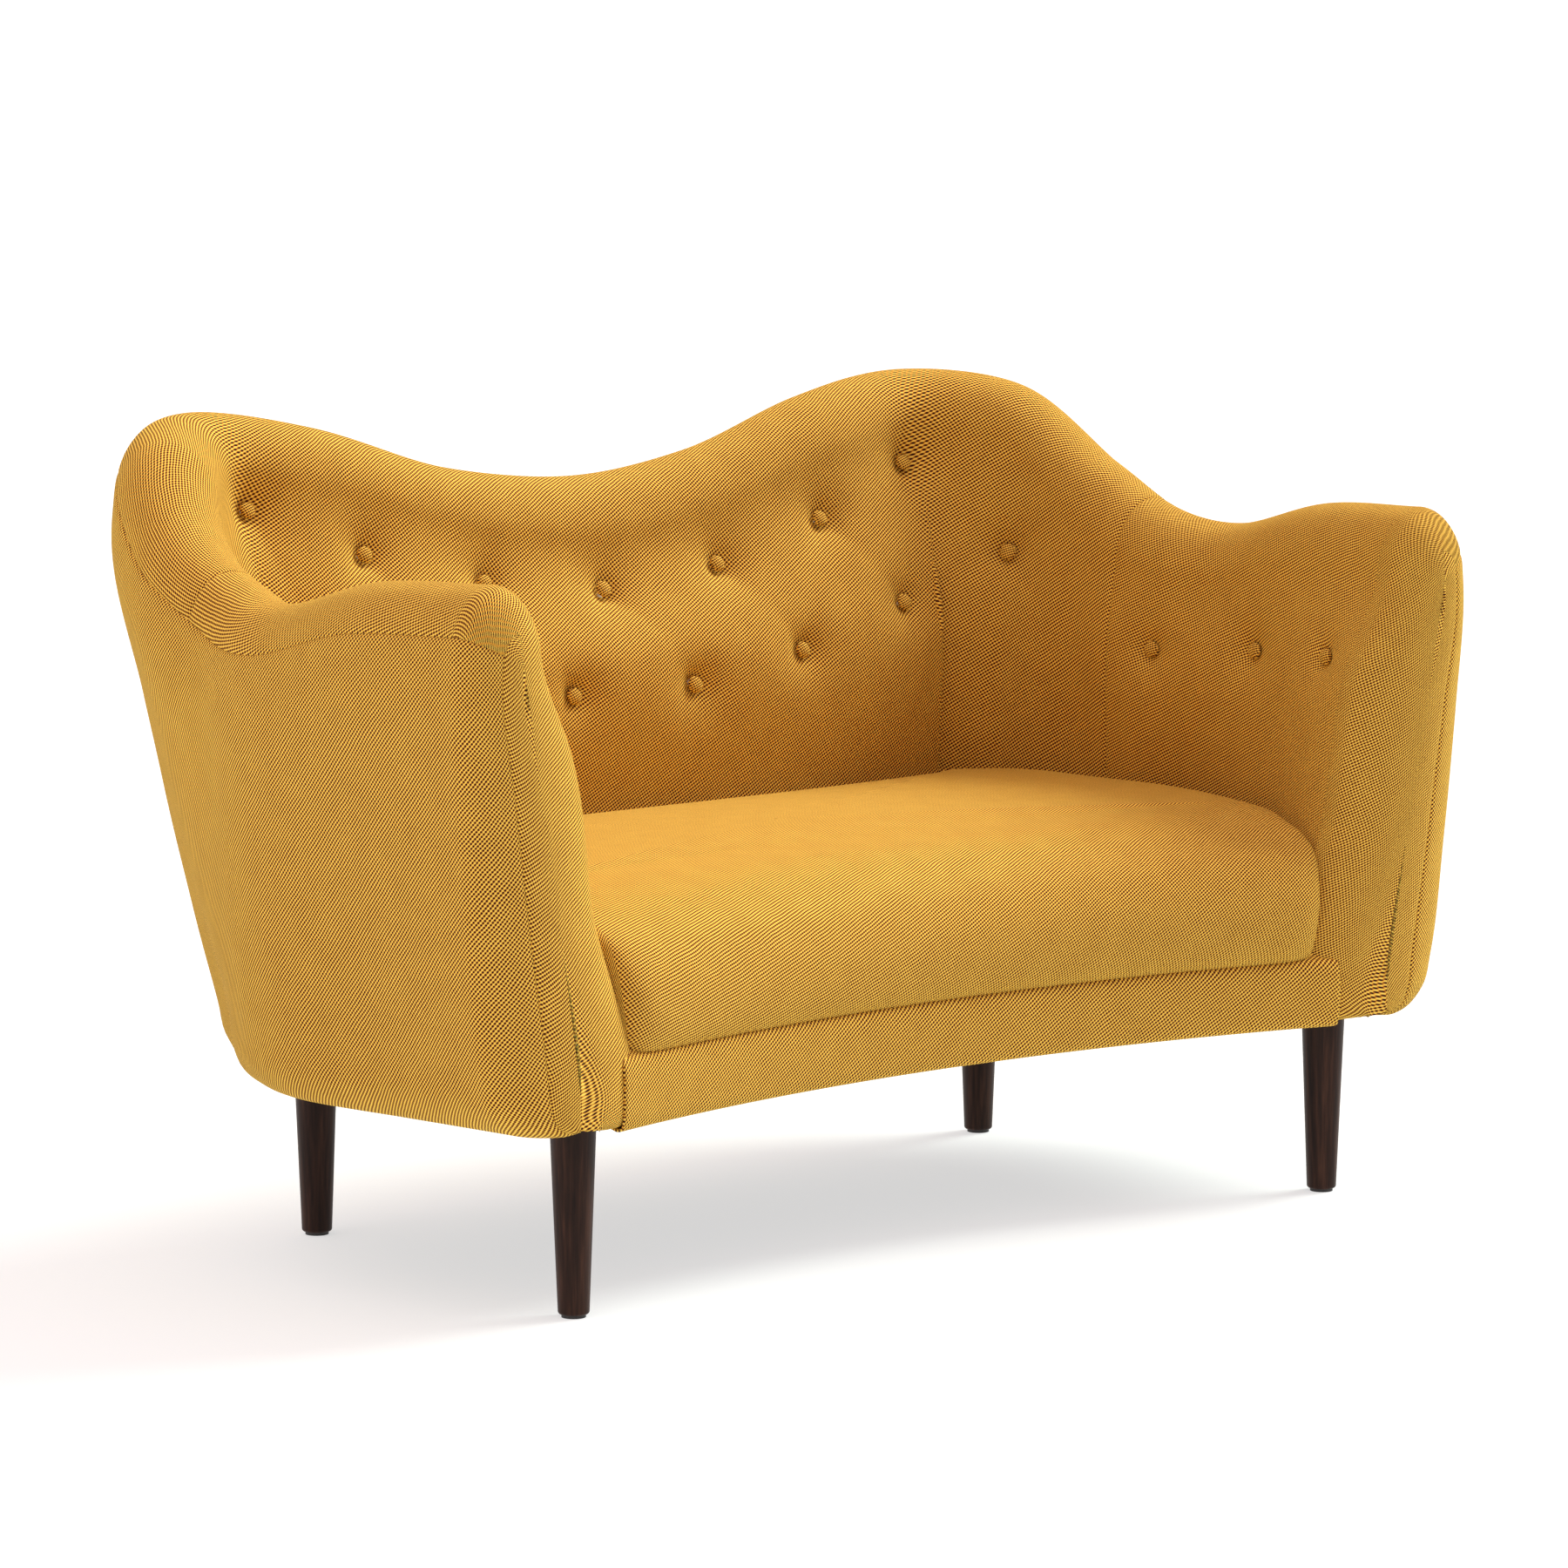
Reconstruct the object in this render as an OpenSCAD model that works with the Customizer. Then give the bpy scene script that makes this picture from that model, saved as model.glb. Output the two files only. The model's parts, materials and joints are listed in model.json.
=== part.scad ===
// Fully upholstered two-seat sofa: a curved shell that forms the back and both arms,
// a tight seat with a hollow front edge, and four turned legs.
// Origin: on the floor, in the middle of the width and depth. +X to the sofa's left
// hand as it is sat on, +Y to the back, +Z up.

/* [Body] */
// Height of the flat underside above the floor
body_bottom = 186; // [170:1:200]
// Height of the seat at its crown
seat_top = 405; // [395:1:415]
// Height of the seam between the seat and the front border
border_top = 252; // [250:1:260]
// How far the middle of the front edge lies behind its ends
front_hollow = 66; // [40:1:80]
// Rounding of the lower edge of the shell, as a height
foot_round = 59; // [45:1:65]
// How far the rounded front of an arm reaches past its straight part
nose = 46; // [35:1:60]

/* [Upholstery] */
// Thickness of the cover fabric with its wadding
fabric = 2.5; // [2:0.5:3]
// Thickness of the foam inside the back
back_foam = 30; // [26:1:32]
// Thickness of the foam inside the arms
arm_foam = 30; // [24:1:32]
// Diameter of a covered button
button_d = 18; // [16:1:22]
// Width of an elastic webbing strap
strap_w = 50; // [40:5:60]

/* [Frame] */
// Thickness of the seat rails
rail_t = 28; // [22:1:30]
// Height of the seat rails
rail_h = 54; // [48:1:54]
// Thickness of the posts of the back and arms
post_t = 22; // [18:1:24]
// Width of the posts of the back and arms
post_w = 55; // [40:1:60]
// Diameter of the dowels in the frame
dowel_d = 8; // [6:1:8]

/* [Legs] */
// Diameter of a leg at its top
leg_top_d = 46; // [42:1:48]
// Diameter of a leg just above its foot
leg_foot_d = 31; // [28:1:34]
// Distance of each front leg from the middle of the sofa
front_leg_x = 502; // [490:1:510]
// Distance of each rear leg from the middle of the sofa
rear_leg_x = 451; // [440:1:460]
// Distance between the front and rear leg centres, front to back
leg_spread = 490; // [480:1:500]
// Diameter of the bolts that hold the legs
bolt_d = 8; // [6:1:10]

/* [Hidden] */

beech = "burlywood";
walnut = "#4a2f22";
mustard = "#d69a12";
foam_colour = "#efe6c8";
steel = "silver";
gap = 0.5;

// The shell's crest from the middle of the back to the front of an arm, [x, y, height].
crest_keys = [
    [0, 326, 741], [165, 326, 761], [330, 332, 810], [480, 333, 833], [580, 243, 815],
    [615, 146, 740], [622, 46, 692], [636, -54, 679], [629, -194, 712], [614, -344, 720]
];
// The shell's section at the same places, as distances outward of the crest: the edge
// of the flat underside, the side just above it, the side below the crest, and the
// inside below the crest, at the buttons, at the seat and at the underside.
section_keys = [
    [-110, -67, 37, -58, -125, -122, -122], [-110, -67, 37, -58, -125, -122, -122],
    [-110, -71, 38, -58, -126, -120, -120], [-107, -65, 54, -58, -120, -112, -114],
    [-110, -53, 50, -60, -92, -98, -104], [-69, -38, 55, -60, -72, -76, -88],
    [-32, 10, 52, -60, -72, -72, -82], [-24, 22, 55, -60, -72, -72, -80],
    [-39, 8, 58, -56, -69, -82, -104], [-48, 17, 52, -54, -97, -123, -160]
];
arm_end = len(crest_keys) - 1;
cover_seam = 5.75;
outside_seam = 3.9;
front_seam = 9.7;
nose_square = 1.85;
crest_round = 75;
button_z = 550;
seat_z = 400;
face_bow = 7;
front_lift = 8;

rail_z = body_bottom + 10;
post_z = rail_z + rail_h;
strap_t = 1.5;
deck_z = post_z + 2 * strap_t + gap;
rail_out = 16;
top_rail_drop = 80;
top_rail_h = 35;
top_rail_w = 30;
border_pad = 8;
border_half = 455;
front_leg_y = -324;
rear_leg_y = front_leg_y + leg_spread;
front_mid_y = -304;
front_half = 480;
front_r = (front_half * front_half + front_hollow * front_hollow) / (2 * front_hollow);

// ---- curves of the shell ----
function mix(a, b, u) = a + (b - a) * u;
function clamp01(u) = min(1, max(0, u));
function flip_x(p) = [-p.x, p.y, p.z];
function reversed(list) = [for (i = [len(list) - 1:-1:0]) list[i]];

function crest_key(i) =
    i < 0 ? flip_x(crest_keys[-i])
    : i > arm_end ? 2 * crest_keys[arm_end] - crest_keys[arm_end - 1]
    : crest_keys[i];
function section_key(i) = section_keys[min(arm_end, abs(i))];

function blend(a, b, c, d, u) =
    0.5 * (2 * b + (c - a) * u + (2 * a - 5 * b + 4 * c - d) * u * u
    + (3 * b - a - 3 * c + d) * u * u * u);
function slope(a, b, c, d, u) =
    0.5 * ((c - a) + 2 * (2 * a - 5 * b + 4 * c - d) * u
    + 3 * (3 * b - a - 3 * c + d) * u * u);

function crest_on(t) =
    let (i = min(floor(t), arm_end - 1))
    blend(crest_key(i - 1), crest_key(i), crest_key(i + 1), crest_key(i + 2), t - i);
function along(t) =
    let (s = min(t, arm_end), i = min(floor(s), arm_end - 1),
        v = slope(crest_key(i - 1), crest_key(i), crest_key(i + 1), crest_key(i + 2), s - i))
    [v.x, v.y] / norm([v.x, v.y]);
function section_on(t) =
    let (s = min(t, arm_end), i = min(floor(s), arm_end - 1))
    blend(section_key(i - 1), section_key(i), section_key(i + 1), section_key(i + 2), s - i);

// How far the arm's front has closed in at t: 1 on the arm, 0 at its foremost line.
function closing(t) =
    t <= arm_end ? 1
    : pow(1 - pow(sin(90 * (t - arm_end)), nose_square), 1 / nose_square);
function crest(t) =
    t <= arm_end ? crest_on(t)
    : let (a = along(arm_end), c = crest_on(arm_end), f = nose * sin(90 * (t - arm_end)))
        [c.x + a.x * f, c.y + a.y * f, c.z];

// A point of the shell at t along the crest, out from it and at a height. Negative t
// is the other half of the sofa.
function shell_point(t, out, z) =
    t < 0 ? flip_x(shell_point(-t, out, z))
    : let (c = crest(t), a = along(t)) [c.x - a.y * out, c.y + a.x * out, z];

// The shell's section at t >= 0 as [out, height], from the underside over the crest
// to the inside.
function raw_section(t) =
    let (s = section_on(t), top = crest(t).z, shoulder = top - crest_round,
        side = body_bottom + foot_round)
    concat(
        [for (a = [0:30:90])
            [mix(s[0], s[1], sin(a)), body_bottom + foot_round * (1 - cos(a))]],
        [for (u = [0.33, 0.67])
            [mix(s[1], s[2], u) + face_bow * sin(180 * u), mix(side, shoulder, u)]],
        [for (a = [0:22.5:180])
            [(a < 90 ? s[2] : -s[3]) * cos(a), shoulder + crest_round * sin(a)]],
        [[s[4], button_z], [s[5], seat_z], [s[6], t < arm_end ? deck_z + 3 : body_bottom]]
    );
SEAM = 7;
CREST = 10;
AT_SEAT = 16;
AT_FOOT = 17;

// The section drawn in towards the arm's middle line where the front closes.
function section(t) =
    let (w = closing(t), s = section_on(t), shoulder = crest(t).z - crest_round,
        side = body_bottom + foot_round)
    [for (p = raw_section(t))
        let (m = (s[1] + s[6]) / 2 * (1 - clamp01((p[1] - side) / (shoulder - side))),
            low = clamp01(1 - (p[1] - body_bottom) / foot_round))
        [m + (p[0] - m) * w,
            p[1] > shoulder ? shoulder + (p[1] - shoulder) * w
            : p[1] + front_lift * (1 - w) * low]];

function inward(s, i, d) =
    let (a = s[max(0, i - 1)], b = s[min(len(s) - 1, i + 1)], v = b - a)
    s[i] - [v[1], -v[0]] / norm(v) * d;

// One closed ring of a layer of the shell: section points i0 to i1 between two depths.
function layer_ring(t, i0, i1, d0, d1) =
    let (s = section(abs(t)), w = closing(abs(t)))
    concat(
        [for (i = [i0:i1]) let (p = inward(s, i, d0 * w)) shell_point(t, p[0], p[1])],
        [for (i = [i1:-1:i0]) let (p = inward(s, i, d1 * w)) shell_point(t, p[0], p[1])]
    );

// Two triangles of a ring's end cap, between its points i and i + 1 and the two points
// that lie opposite them in the ring.
function cap_pair(start, i, n) =
    let (a = start + i, b = start + i + 1, c = start + n - 2 - i, d = start + n - 1 - i)
    b == c ? [[a, b, d]] : [[a, b, c], [a, c, d]];

// A solid through a list of rings that all have the same even number of points. Where a
// stretch is marked as turned, its quads are split along their other diagonal, and the
// inner half of each ring is split the same way as the outer half that it backs.
module loft(rings, turned = []) {
    n = len(rings[0]);
    m = len(rings);
    polyhedron(
        points = [for (r = rings) for (p = r) p],
        faces = concat(
            [for (i = [0:n / 2 - 2]) each cap_pair(0, i, n)],
            [for (i = [0:n / 2 - 2]) each [for (f = cap_pair((m - 1) * n, i, n)) reversed(f)]],
            [for (j = [0:m - 2]) for (i = [0:n - 1])
                let (a = j * n + i, b = j * n + (i + 1) % n, t = len(turned) > 0 && turned[j],
                    back = i >= n / 2)
                each (t != back ? [[a, a + n, b + n], [a, b + n, b]]
                    : [[a, a + n, b], [b, a + n, b + n]])]
        ),
        convexity = 8
    );
}

function steps(t0, t1, n) = [for (i = [0:n]) mix(t0, t1, i / n)];

module shell_layer(ts, i0, i1, d0, d1) {
    loft([for (t = ts) layer_ring(t, i0, i1, d0, d1)], [for (t = ts) t < -0.001]);
}

// Places along an arm: its inside, its outside, and the front from seam to tip.
arm_in_ts = concat(steps(cover_seam, arm_end, 6), [arm_end + 0.3, arm_end + 0.5, front_seam]);
arm_out_ts = concat(steps(outside_seam, arm_end, 9), [arm_end + 0.3, arm_end + 0.5, front_seam - 0.01]);
arm_front_ts = [front_seam, arm_end + 0.85, arm_end + 0.98];
back_ts = steps(-cover_seam, cover_seam, 20);
back_out_ts = steps(-outside_seam, outside_seam, 14);
function far_side(ts) = -reversed(ts);

// ---- frame ----
function front_y(x) = front_mid_y - (front_r - sqrt(front_r * front_r - x * x));

// A strip that follows the hollow front edge, from d0 to d1 behind it.
module front_strip(d0, d1, z0, h, half) {
    translate([0, 0, z0]) linear_extrude(h) intersection() {
        translate([0, front_mid_y - front_r]) difference() {
            circle(r = front_r + d1, $fn = 360);
            circle(r = front_r + d0, $fn = 360);
        }
        translate([-half, front_mid_y - 2 * front_hollow]) square([2 * half, 3 * front_hollow]);
    }
}

function foot_edge(t, out) =
    let (p = shell_point(t, section_on(abs(t))[0] + out, 0)) [p.x, p.y];

// A sawn rail that follows the edge of the underside.
module foot_rail(t0, t1) {
    ts = steps(t0, t1, 10);
    translate([0, 0, rail_z]) linear_extrude(rail_h)
        polygon(concat(
            [for (t = ts) foot_edge(t, rail_out)],
            [for (t = reversed(ts)) foot_edge(t, rail_out - rail_t)]
        ));
}

// How far out of the crest the middle of the top rail lies.
function top_rail_out(t) = section_on(abs(t))[2] - top_rail_w;

function top_rail_ring(t) =
    let (o = top_rail_out(t), z = crest(abs(t)).z - top_rail_drop)
    [shell_point(t, o + top_rail_w / 2, z), shell_point(t, o + top_rail_w / 2, z + top_rail_h),
        shell_point(t, o - top_rail_w / 2, z + top_rail_h), shell_point(t, o - top_rail_w / 2, z)];

function post_foot(t) = shell_point(t, section_on(abs(t))[0] + rail_out - 10, post_z);
function post_top(t) =
    let (s = abs(t), half = 0.2,
        z = min(crest(s - half).z, crest(s).z, crest(min(arm_end, s + half)).z))
    shell_point(t, top_rail_out(t), z - top_rail_drop - gap);

function post_ring(t, c) =
    let (a = along(abs(t)), u = [t < 0 ? -a.x : a.x, a.y, 0] * post_w / 2,
        v = [-u.y, u.x, 0] * post_t / post_w)
    [c - u - v, c + u - v, c + u + v, c - u + v];

module post(t) {
    difference() {
        loft([post_ring(t, post_top(t)), post_ring(t, post_foot(t))]);
        post_dowels(t, 0.1);
    }
}

dowel_l = 18;
module dowel_at(p, play) {
    translate([p.x, p.y, p.z - dowel_l - play])
        cylinder(d = dowel_d + 2 * play, h = 2 * (dowel_l + play), $fn = 32);
}
module post_dowels(t, play) {
    dowel_at(post_foot(t), play);
    dowel_at(post_top(t), play);
}

back_post_t = 1.5;
corner_post_t = 4.2;
arm_rear_t = 6.6;
arm_front_t = 8.7;
arm_rail_t = 5;
post_ts = [back_post_t, corner_post_t, arm_rear_t, arm_front_t];
side_rail_t = 3.5;

module all_post_dowels(play) {
    for (t = post_ts) {
        post_dowels(t, play);
        post_dowels(-t, play);
    }
}

module beech_rail() {
    color(beech) difference() {
        children();
        all_post_dowels(0.1);
    }
}

stretcher_x = 60;
stretcher_y = [front_mid_y + border_pad + fabric + gap + rail_t + gap, 203];
module stretcher_dowels(play) {
    for (y = stretcher_y) for (x = [-0.25, 0.25] * stretcher_x)
        translate([x, y - dowel_l - play, rail_z + rail_h / 2]) rotate([-90, 0, 0])
            cylinder(d = dowel_d + 2 * play, h = 2 * (dowel_l + play), $fn = 32);
}

module front_seat_rail() {
    d = border_pad + fabric + gap;
    color(beech) difference() {
        front_strip(d, d + rail_t, rail_z, rail_h, 515);
        stretcher_dowels(0.1);
    }
}
module rear_seat_rail() {
    beech_rail() difference() {
        foot_rail(-side_rail_t + 0.01, side_rail_t - 0.01);
        stretcher_dowels(0.1);
    }
}
module side_seat_rail_left() { beech_rail() foot_rail(side_rail_t, arm_end); }
module side_seat_rail_right() { beech_rail() foot_rail(-arm_end, -side_rail_t); }
module centre_stretcher() {
    color(beech) difference() {
        translate([-stretcher_x / 2, stretcher_y[0], rail_z])
            cube([stretcher_x, stretcher_y[1] - stretcher_y[0] - gap, rail_h - 6]);
        stretcher_dowels(0.1);
    }
}

leg_places = [[front_leg_x, front_leg_y], [-front_leg_x, front_leg_y],
    [rear_leg_x, rear_leg_y], [-rear_leg_x, rear_leg_y]];
block_h = 40;
bolt_l = 80;

// Glued blocks inside the corners: each carries one leg.
module leg_block(p, front) {
    x0 = front ? -50 : -46;
    y0 = front ? -10 : -60;
    difference() {
        translate([p.x + (p.x > 0 ? x0 : -x0 - 70), p.y + y0, rail_z]) cube([70, 72, block_h]);
        translate([p.x, p.y, rail_z - 1]) cylinder(d = bolt_d + 3, h = block_h + 2, $fn = 32);
    }
}
module leg_blocks() {
    color(beech) for (i = [0:3]) leg_block(leg_places[i], i < 2);
}

module top_back_rail() {
    beech_rail() loft([for (t = steps(-arm_rail_t + 0.01, arm_rail_t - 0.01, 24)) top_rail_ring(t)]);
}
module arm_rail_left() {
    beech_rail() loft([for (t = steps(arm_rail_t, arm_end, 8)) top_rail_ring(t)]);
}
module arm_rail_right() {
    beech_rail() loft([for (t = steps(-arm_end, -arm_rail_t, 8)) top_rail_ring(t)]);
}

// A rail between two posts at mid height of the back.
module middle_rail(t0, t1) {
    z = 500;
    half = 20;
    loft([for (t = steps(t0, t1, 5))
        let (u = (z - post_z) / (crest(abs(t)).z - top_rail_drop - post_z),
            o = mix(section_on(abs(t))[0] + rail_out - 10, top_rail_out(t), u))
        [shell_point(t, o + 9, z - half), shell_point(t, o + 9, z + half),
            shell_point(t, o - 9, z + half), shell_point(t, o - 9, z - half)]]);
}
module back_middle_rails() {
    clear = 0.2;
    color(beech) {
        middle_rail(-corner_post_t + clear, -back_post_t - clear);
        middle_rail(-back_post_t + clear, back_post_t - clear);
        middle_rail(back_post_t + clear, corner_post_t - clear);
    }
}
module back_post_left() { color(beech) post(back_post_t); }
module back_post_right() { color(beech) post(-back_post_t); }
module corner_post_left() { color(beech) post(corner_post_t); }
module corner_post_right() { color(beech) post(-corner_post_t); }
module arm_rear_post_left() { color(beech) post(arm_rear_t); }
module arm_rear_post_right() { color(beech) post(-arm_rear_t); }
module arm_front_post_left() { color(beech) post(arm_front_t); }
module arm_front_post_right() { color(beech) post(-arm_front_t); }
module frame_dowels() {
    color("wheat") {
        all_post_dowels(0);
        stretcher_dowels(0);
    }
}

// ---- suspension ----
long_strap_count = 7;
long_strap_pitch = 130;
// Cross straps as [place front to back, half length].
cross_straps = [[-219, 580], [-109, 600], [1, 605], [111, 570]];

module seat_straps_long() {
    color("dimgray") for (i = [0:long_strap_count - 1]) {
        x = (i - (long_strap_count - 1) / 2) * long_strap_pitch;
        y0 = front_y(x) + border_pad + 12;
        y1 = 221 - 25 * pow(x / 400, 2);
        translate([x - strap_w / 2, y0, post_z]) cube([strap_w, y1 - y0, strap_t]);
    }
}
module seat_straps_cross() {
    color("dimgray") for (s = cross_straps)
        translate([-s[1], s[0] - strap_w / 2, post_z + strap_t]) cube([2 * s[1], strap_w, strap_t]);
}

// Upright straps behind a pad of the given thickness.
module upright_straps(ts, foam) {
    half = strap_w / 330;
    d = fabric + foam + 2 * gap;
    for (t = ts) shell_layer([t - half, t + half], 12, AT_SEAT, d, d + strap_t);
}
module back_straps() { color("dimgray") upright_straps([-3.4, -2.4, -0.5, 0.5, 2.4, 3.4], back_foam); }
module arm_straps() { color("dimgray") upright_straps([-8.1, -7.1, 7.1, 8.1], arm_foam); }

// ---- seat ----
function inside_out(t, z) =
    let (s = section_on(t), w = closing(t), m = (s[1] + s[6]) / 2,
        o = z > seat_z ? mix(s[5], s[4], (z - seat_z) / (button_z - seat_z))
            : mix(s[6], s[5], (z - body_bottom) / (seat_z - body_bottom)))
    m + (o - m) * w;

seat_ts = steps(-arm_end - 0.28, arm_end + 0.28, 26);
seat_front_n = 10;

// One level of the seat: against the shell on three sides, hollow in front.
function seat_ring(z, inset, out) =
    let (side = [for (t = seat_ts) shell_point(t, inside_out(abs(t), z) - inset, z)],
        x1 = side[len(side) - 1].x, edge = front_y(x1) - out)
    concat(
        [for (p = side) [p.x, max(p.y, front_y(p.x) - out), z]],
        [for (i = [1:seat_front_n - 1])
            let (x = mix(x1, -x1, i / seat_front_n)) [x, front_y(x) - out, z]]
    );

// Levels of the seat above its seam: [height below the crown, inset, bulge in front].
seat_levels = [[130, 0, 9], [85, 0, 6], [48, 2, -14], [24, 6, -50], [9, 16, -100], [0, 60, -170]];

// The seat's levels from the crown down, all drawn in by d.
function seat_rings(d) = [
    for (i = [len(seat_levels) - 1:-1:0]) let (v = seat_levels[i])
        seat_ring(seat_top - v[0] - d, v[1] + fabric + gap + d, v[2] - d),
    seat_ring(deck_z + 1 + gap, fabric + gap + d, -d)
];
module seat_deck() {
    color("tan") translate([0, 0, deck_z]) linear_extrude(1)
        polygon([for (p = seat_ring(deck_z, fabric + 2, -14)) [p.x, p.y]]);
}
module seat_foam() { color(foam_colour) loft(seat_rings(fabric + gap)); }
module seat_cover() { color(mustard) loft(concat(seat_rings(0), reversed(seat_rings(fabric)))); }
module front_border() {
    color(mustard) front_strip(0, fabric, body_bottom, border_top - body_bottom, border_half);
}

// ---- pads, covers and buttons ----
// Buttons as [t, height, how far the surface leans back].
upper_row = [[0, 629, 24], [0.95, 646, 24], [1.85, 685, 24], [2.75, 738, 26]];
lower_row = [[0.5, 524, 15], [1.4, 550, 18], [2.35, 590, 20], [4, 638, 12]];
arm_row = [[6.25, 542, 4], [7.65, 553, 4], [8.6, 561, 6]];
button_sink = 9;
button_h = 6;

// Where the inside surface lies at t and a height.
function inside_surface(t, z) =
    let (s = section(abs(t)), n = [for (i = [CREST:AT_FOOT - 1])
        if (s[i][1] >= z && s[i + 1][1] < z) i][0])
    shell_point(t, mix(s[n + 1][0], s[n][0], (z - s[n + 1][1]) / (s[n][1] - s[n + 1][1])), z);

// Places children on the inside surface with +Z pointing out of the upholstery.
module on_inside(b) {
    a = along(abs(b[0]));
    face = atan2(-a.x, (b[0] < 0 ? -1 : 1) * a.y);
    translate(inside_surface(b[0], b[1])) rotate([0, 90 - b[2], face]) children();
}
function both_sides(row) = concat(row, [for (b = row) if (b[0] != 0) [-b[0], b[1], b[2]]]);
function other_side(row) = [for (b = row) [-b[0], b[1], b[2]]];
all_buttons = concat(both_sides(upper_row), both_sides(lower_row), both_sides(arm_row));

module button_pockets(rows) {
    for (b = rows) on_inside(b) {
        translate([0, 0, -button_sink]) cylinder(d = button_d + 1, h = 2 * button_sink, $fn = 32);
        translate([0, 0, -90]) cylinder(d = 3, h = 90, $fn = 16);
    }
}
module covered_buttons(row) {
    r = button_d / 2;
    color(mustard) for (b = row) on_inside(b) translate([0, 0, -button_sink + 0.1])
        rotate_extrude($fn = 48) polygon(concat([[0, 0], [r - 1, 0], [r, 1]],
            [for (a = [15:15:90]) [r * cos(a), 1 + (button_h - 1) * sin(a)]]));
}
module back_pad() {
    color(foam_colour) difference() {
        shell_layer(back_ts, CREST, AT_SEAT, fabric + gap, fabric + gap + back_foam);
        button_pockets(concat(both_sides(upper_row), both_sides(lower_row)));
    }
}
module arm_pad(ts, row) {
    color(foam_colour) difference() {
        shell_layer(ts, CREST, AT_SEAT, fabric + gap, fabric + gap + arm_foam);
        button_pockets(row);
    }
}
module arm_pad_left() { arm_pad(pad_ts, arm_row); }
module arm_pad_right() { arm_pad(pad_far_ts, other_side(arm_row)); }
pad_ts = steps(cover_seam + 0.01, arm_end + 0.3, 7);
pad_far_ts = far_side(pad_ts);

module inside_back_cover() {
    color(mustard) difference() {
        shell_layer(back_ts, SEAM, AT_FOOT, 0, fabric);
        button_pockets(concat(both_sides(upper_row), both_sides(lower_row)));
    }
}
// The inside of an arm, which also wraps round the arm's front to the outer seam.
module inside_arm_cover(ts, front_ts, row) {
    color(mustard) {
        difference() {
            shell_layer(ts, SEAM, AT_FOOT, 0, fabric);
            button_pockets(row);
        }
        shell_layer(front_ts, 0, AT_FOOT, 0, fabric);
    }
}
module inside_arm_cover_left() { inside_arm_cover(arm_in_ts, arm_front_ts, arm_row); }
module inside_arm_cover_right() {
    inside_arm_cover(far_side(arm_in_ts), far_side(arm_front_ts), other_side(arm_row));
}
module outside_back_cover() { color(mustard) shell_layer(back_out_ts, 0, SEAM, 0, fabric); }
module outside_arm_cover_left() { color(mustard) shell_layer(arm_out_ts, 0, SEAM, 0, fabric); }
module outside_arm_cover_right() {
    color(mustard) shell_layer(far_side(arm_out_ts), 0, SEAM, 0, fabric);
}

module bottom_cover() {
    ts = steps(-arm_end, arm_end, 30);
    edge = -12;
    color("#2b2624") translate([0, 0, body_bottom + gap]) linear_extrude(1) difference() {
        polygon(concat([for (t = ts) foot_edge(t, edge)],
            [for (i = [0:12]) let (x = mix(540, -540, i / 12)) [x, front_y(x) + 15]]));
        for (p = leg_places) translate(p) circle(d = leg_top_d + 2, $fn = 48);
    }
}
module buttons_upper_row() { covered_buttons(both_sides(upper_row)); }
module buttons_lower_row() { covered_buttons(both_sides(lower_row)); }
module buttons_arm_left() { covered_buttons(arm_row); }
module buttons_arm_right() { covered_buttons(other_side(arm_row)); }

twine_end = -46;
module tufting_twine() {
    color("ivory") for (b = all_buttons) on_inside(b)
        translate([0, 0, twine_end]) cylinder(d = 2, h = -twine_end - button_sink, $fn = 16);
}
module twine_washers() {
    color(steel) for (b = all_buttons) on_inside(b)
        translate([0, 0, twine_end]) difference() {
            cylinder(d = 16, h = 1.5, $fn = 32);
            translate([0, 0, -1]) cylinder(d = 2.4, h = 4, $fn = 16);
        }
}

// ---- legs ----
glide_h = 3;
module leg(p) {
    foot_r = leg_foot_d / 2;
    top_r = leg_top_d / 2;
    edge = 3;
    color(walnut) translate([p.x, p.y, glide_h]) difference() {
        rotate_extrude($fn = 96) polygon(concat(
            [[0, 0]],
            [for (a = [-90:15:0]) [foot_r - edge + edge * cos(a), edge + edge * sin(a)]],
            [[top_r, rail_z - glide_h], [0, rail_z - glide_h]]
        ));
        translate([0, 0, rail_z - glide_h - bolt_l / 2])
            cylinder(d = bolt_d + 0.2, h = bolt_l, $fn = 32);
    }
}
module leg_front_left() { leg(leg_places[0]); }
module leg_front_right() { leg(leg_places[1]); }
module leg_rear_left() { leg(leg_places[2]); }
module leg_rear_right() { leg(leg_places[3]); }
module hanger_bolts() {
    color(steel) for (p = leg_places) translate([p.x, p.y, rail_z - bolt_l / 2])
        cylinder(d = bolt_d, h = bolt_l, $fn = 32);
}
module tee_nuts() {
    color(steel) for (p = leg_places) translate([p.x, p.y, rail_z + block_h]) difference() {
        union() {
            cylinder(d = 20, h = 2, $fn = 32);
            translate([0, 0, -12]) cylinder(d = bolt_d + 2.6, h = 12, $fn = 32);
        }
        translate([0, 0, -13]) cylinder(d = bolt_d + 0.2, h = 16, $fn = 32);
    }
}
module leg_glides() {
    color("dimgray") for (p = leg_places) translate([p.x, p.y, 0])
        cylinder(d = leg_foot_d - 7, h = glide_h, $fn = 48);
}

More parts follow.
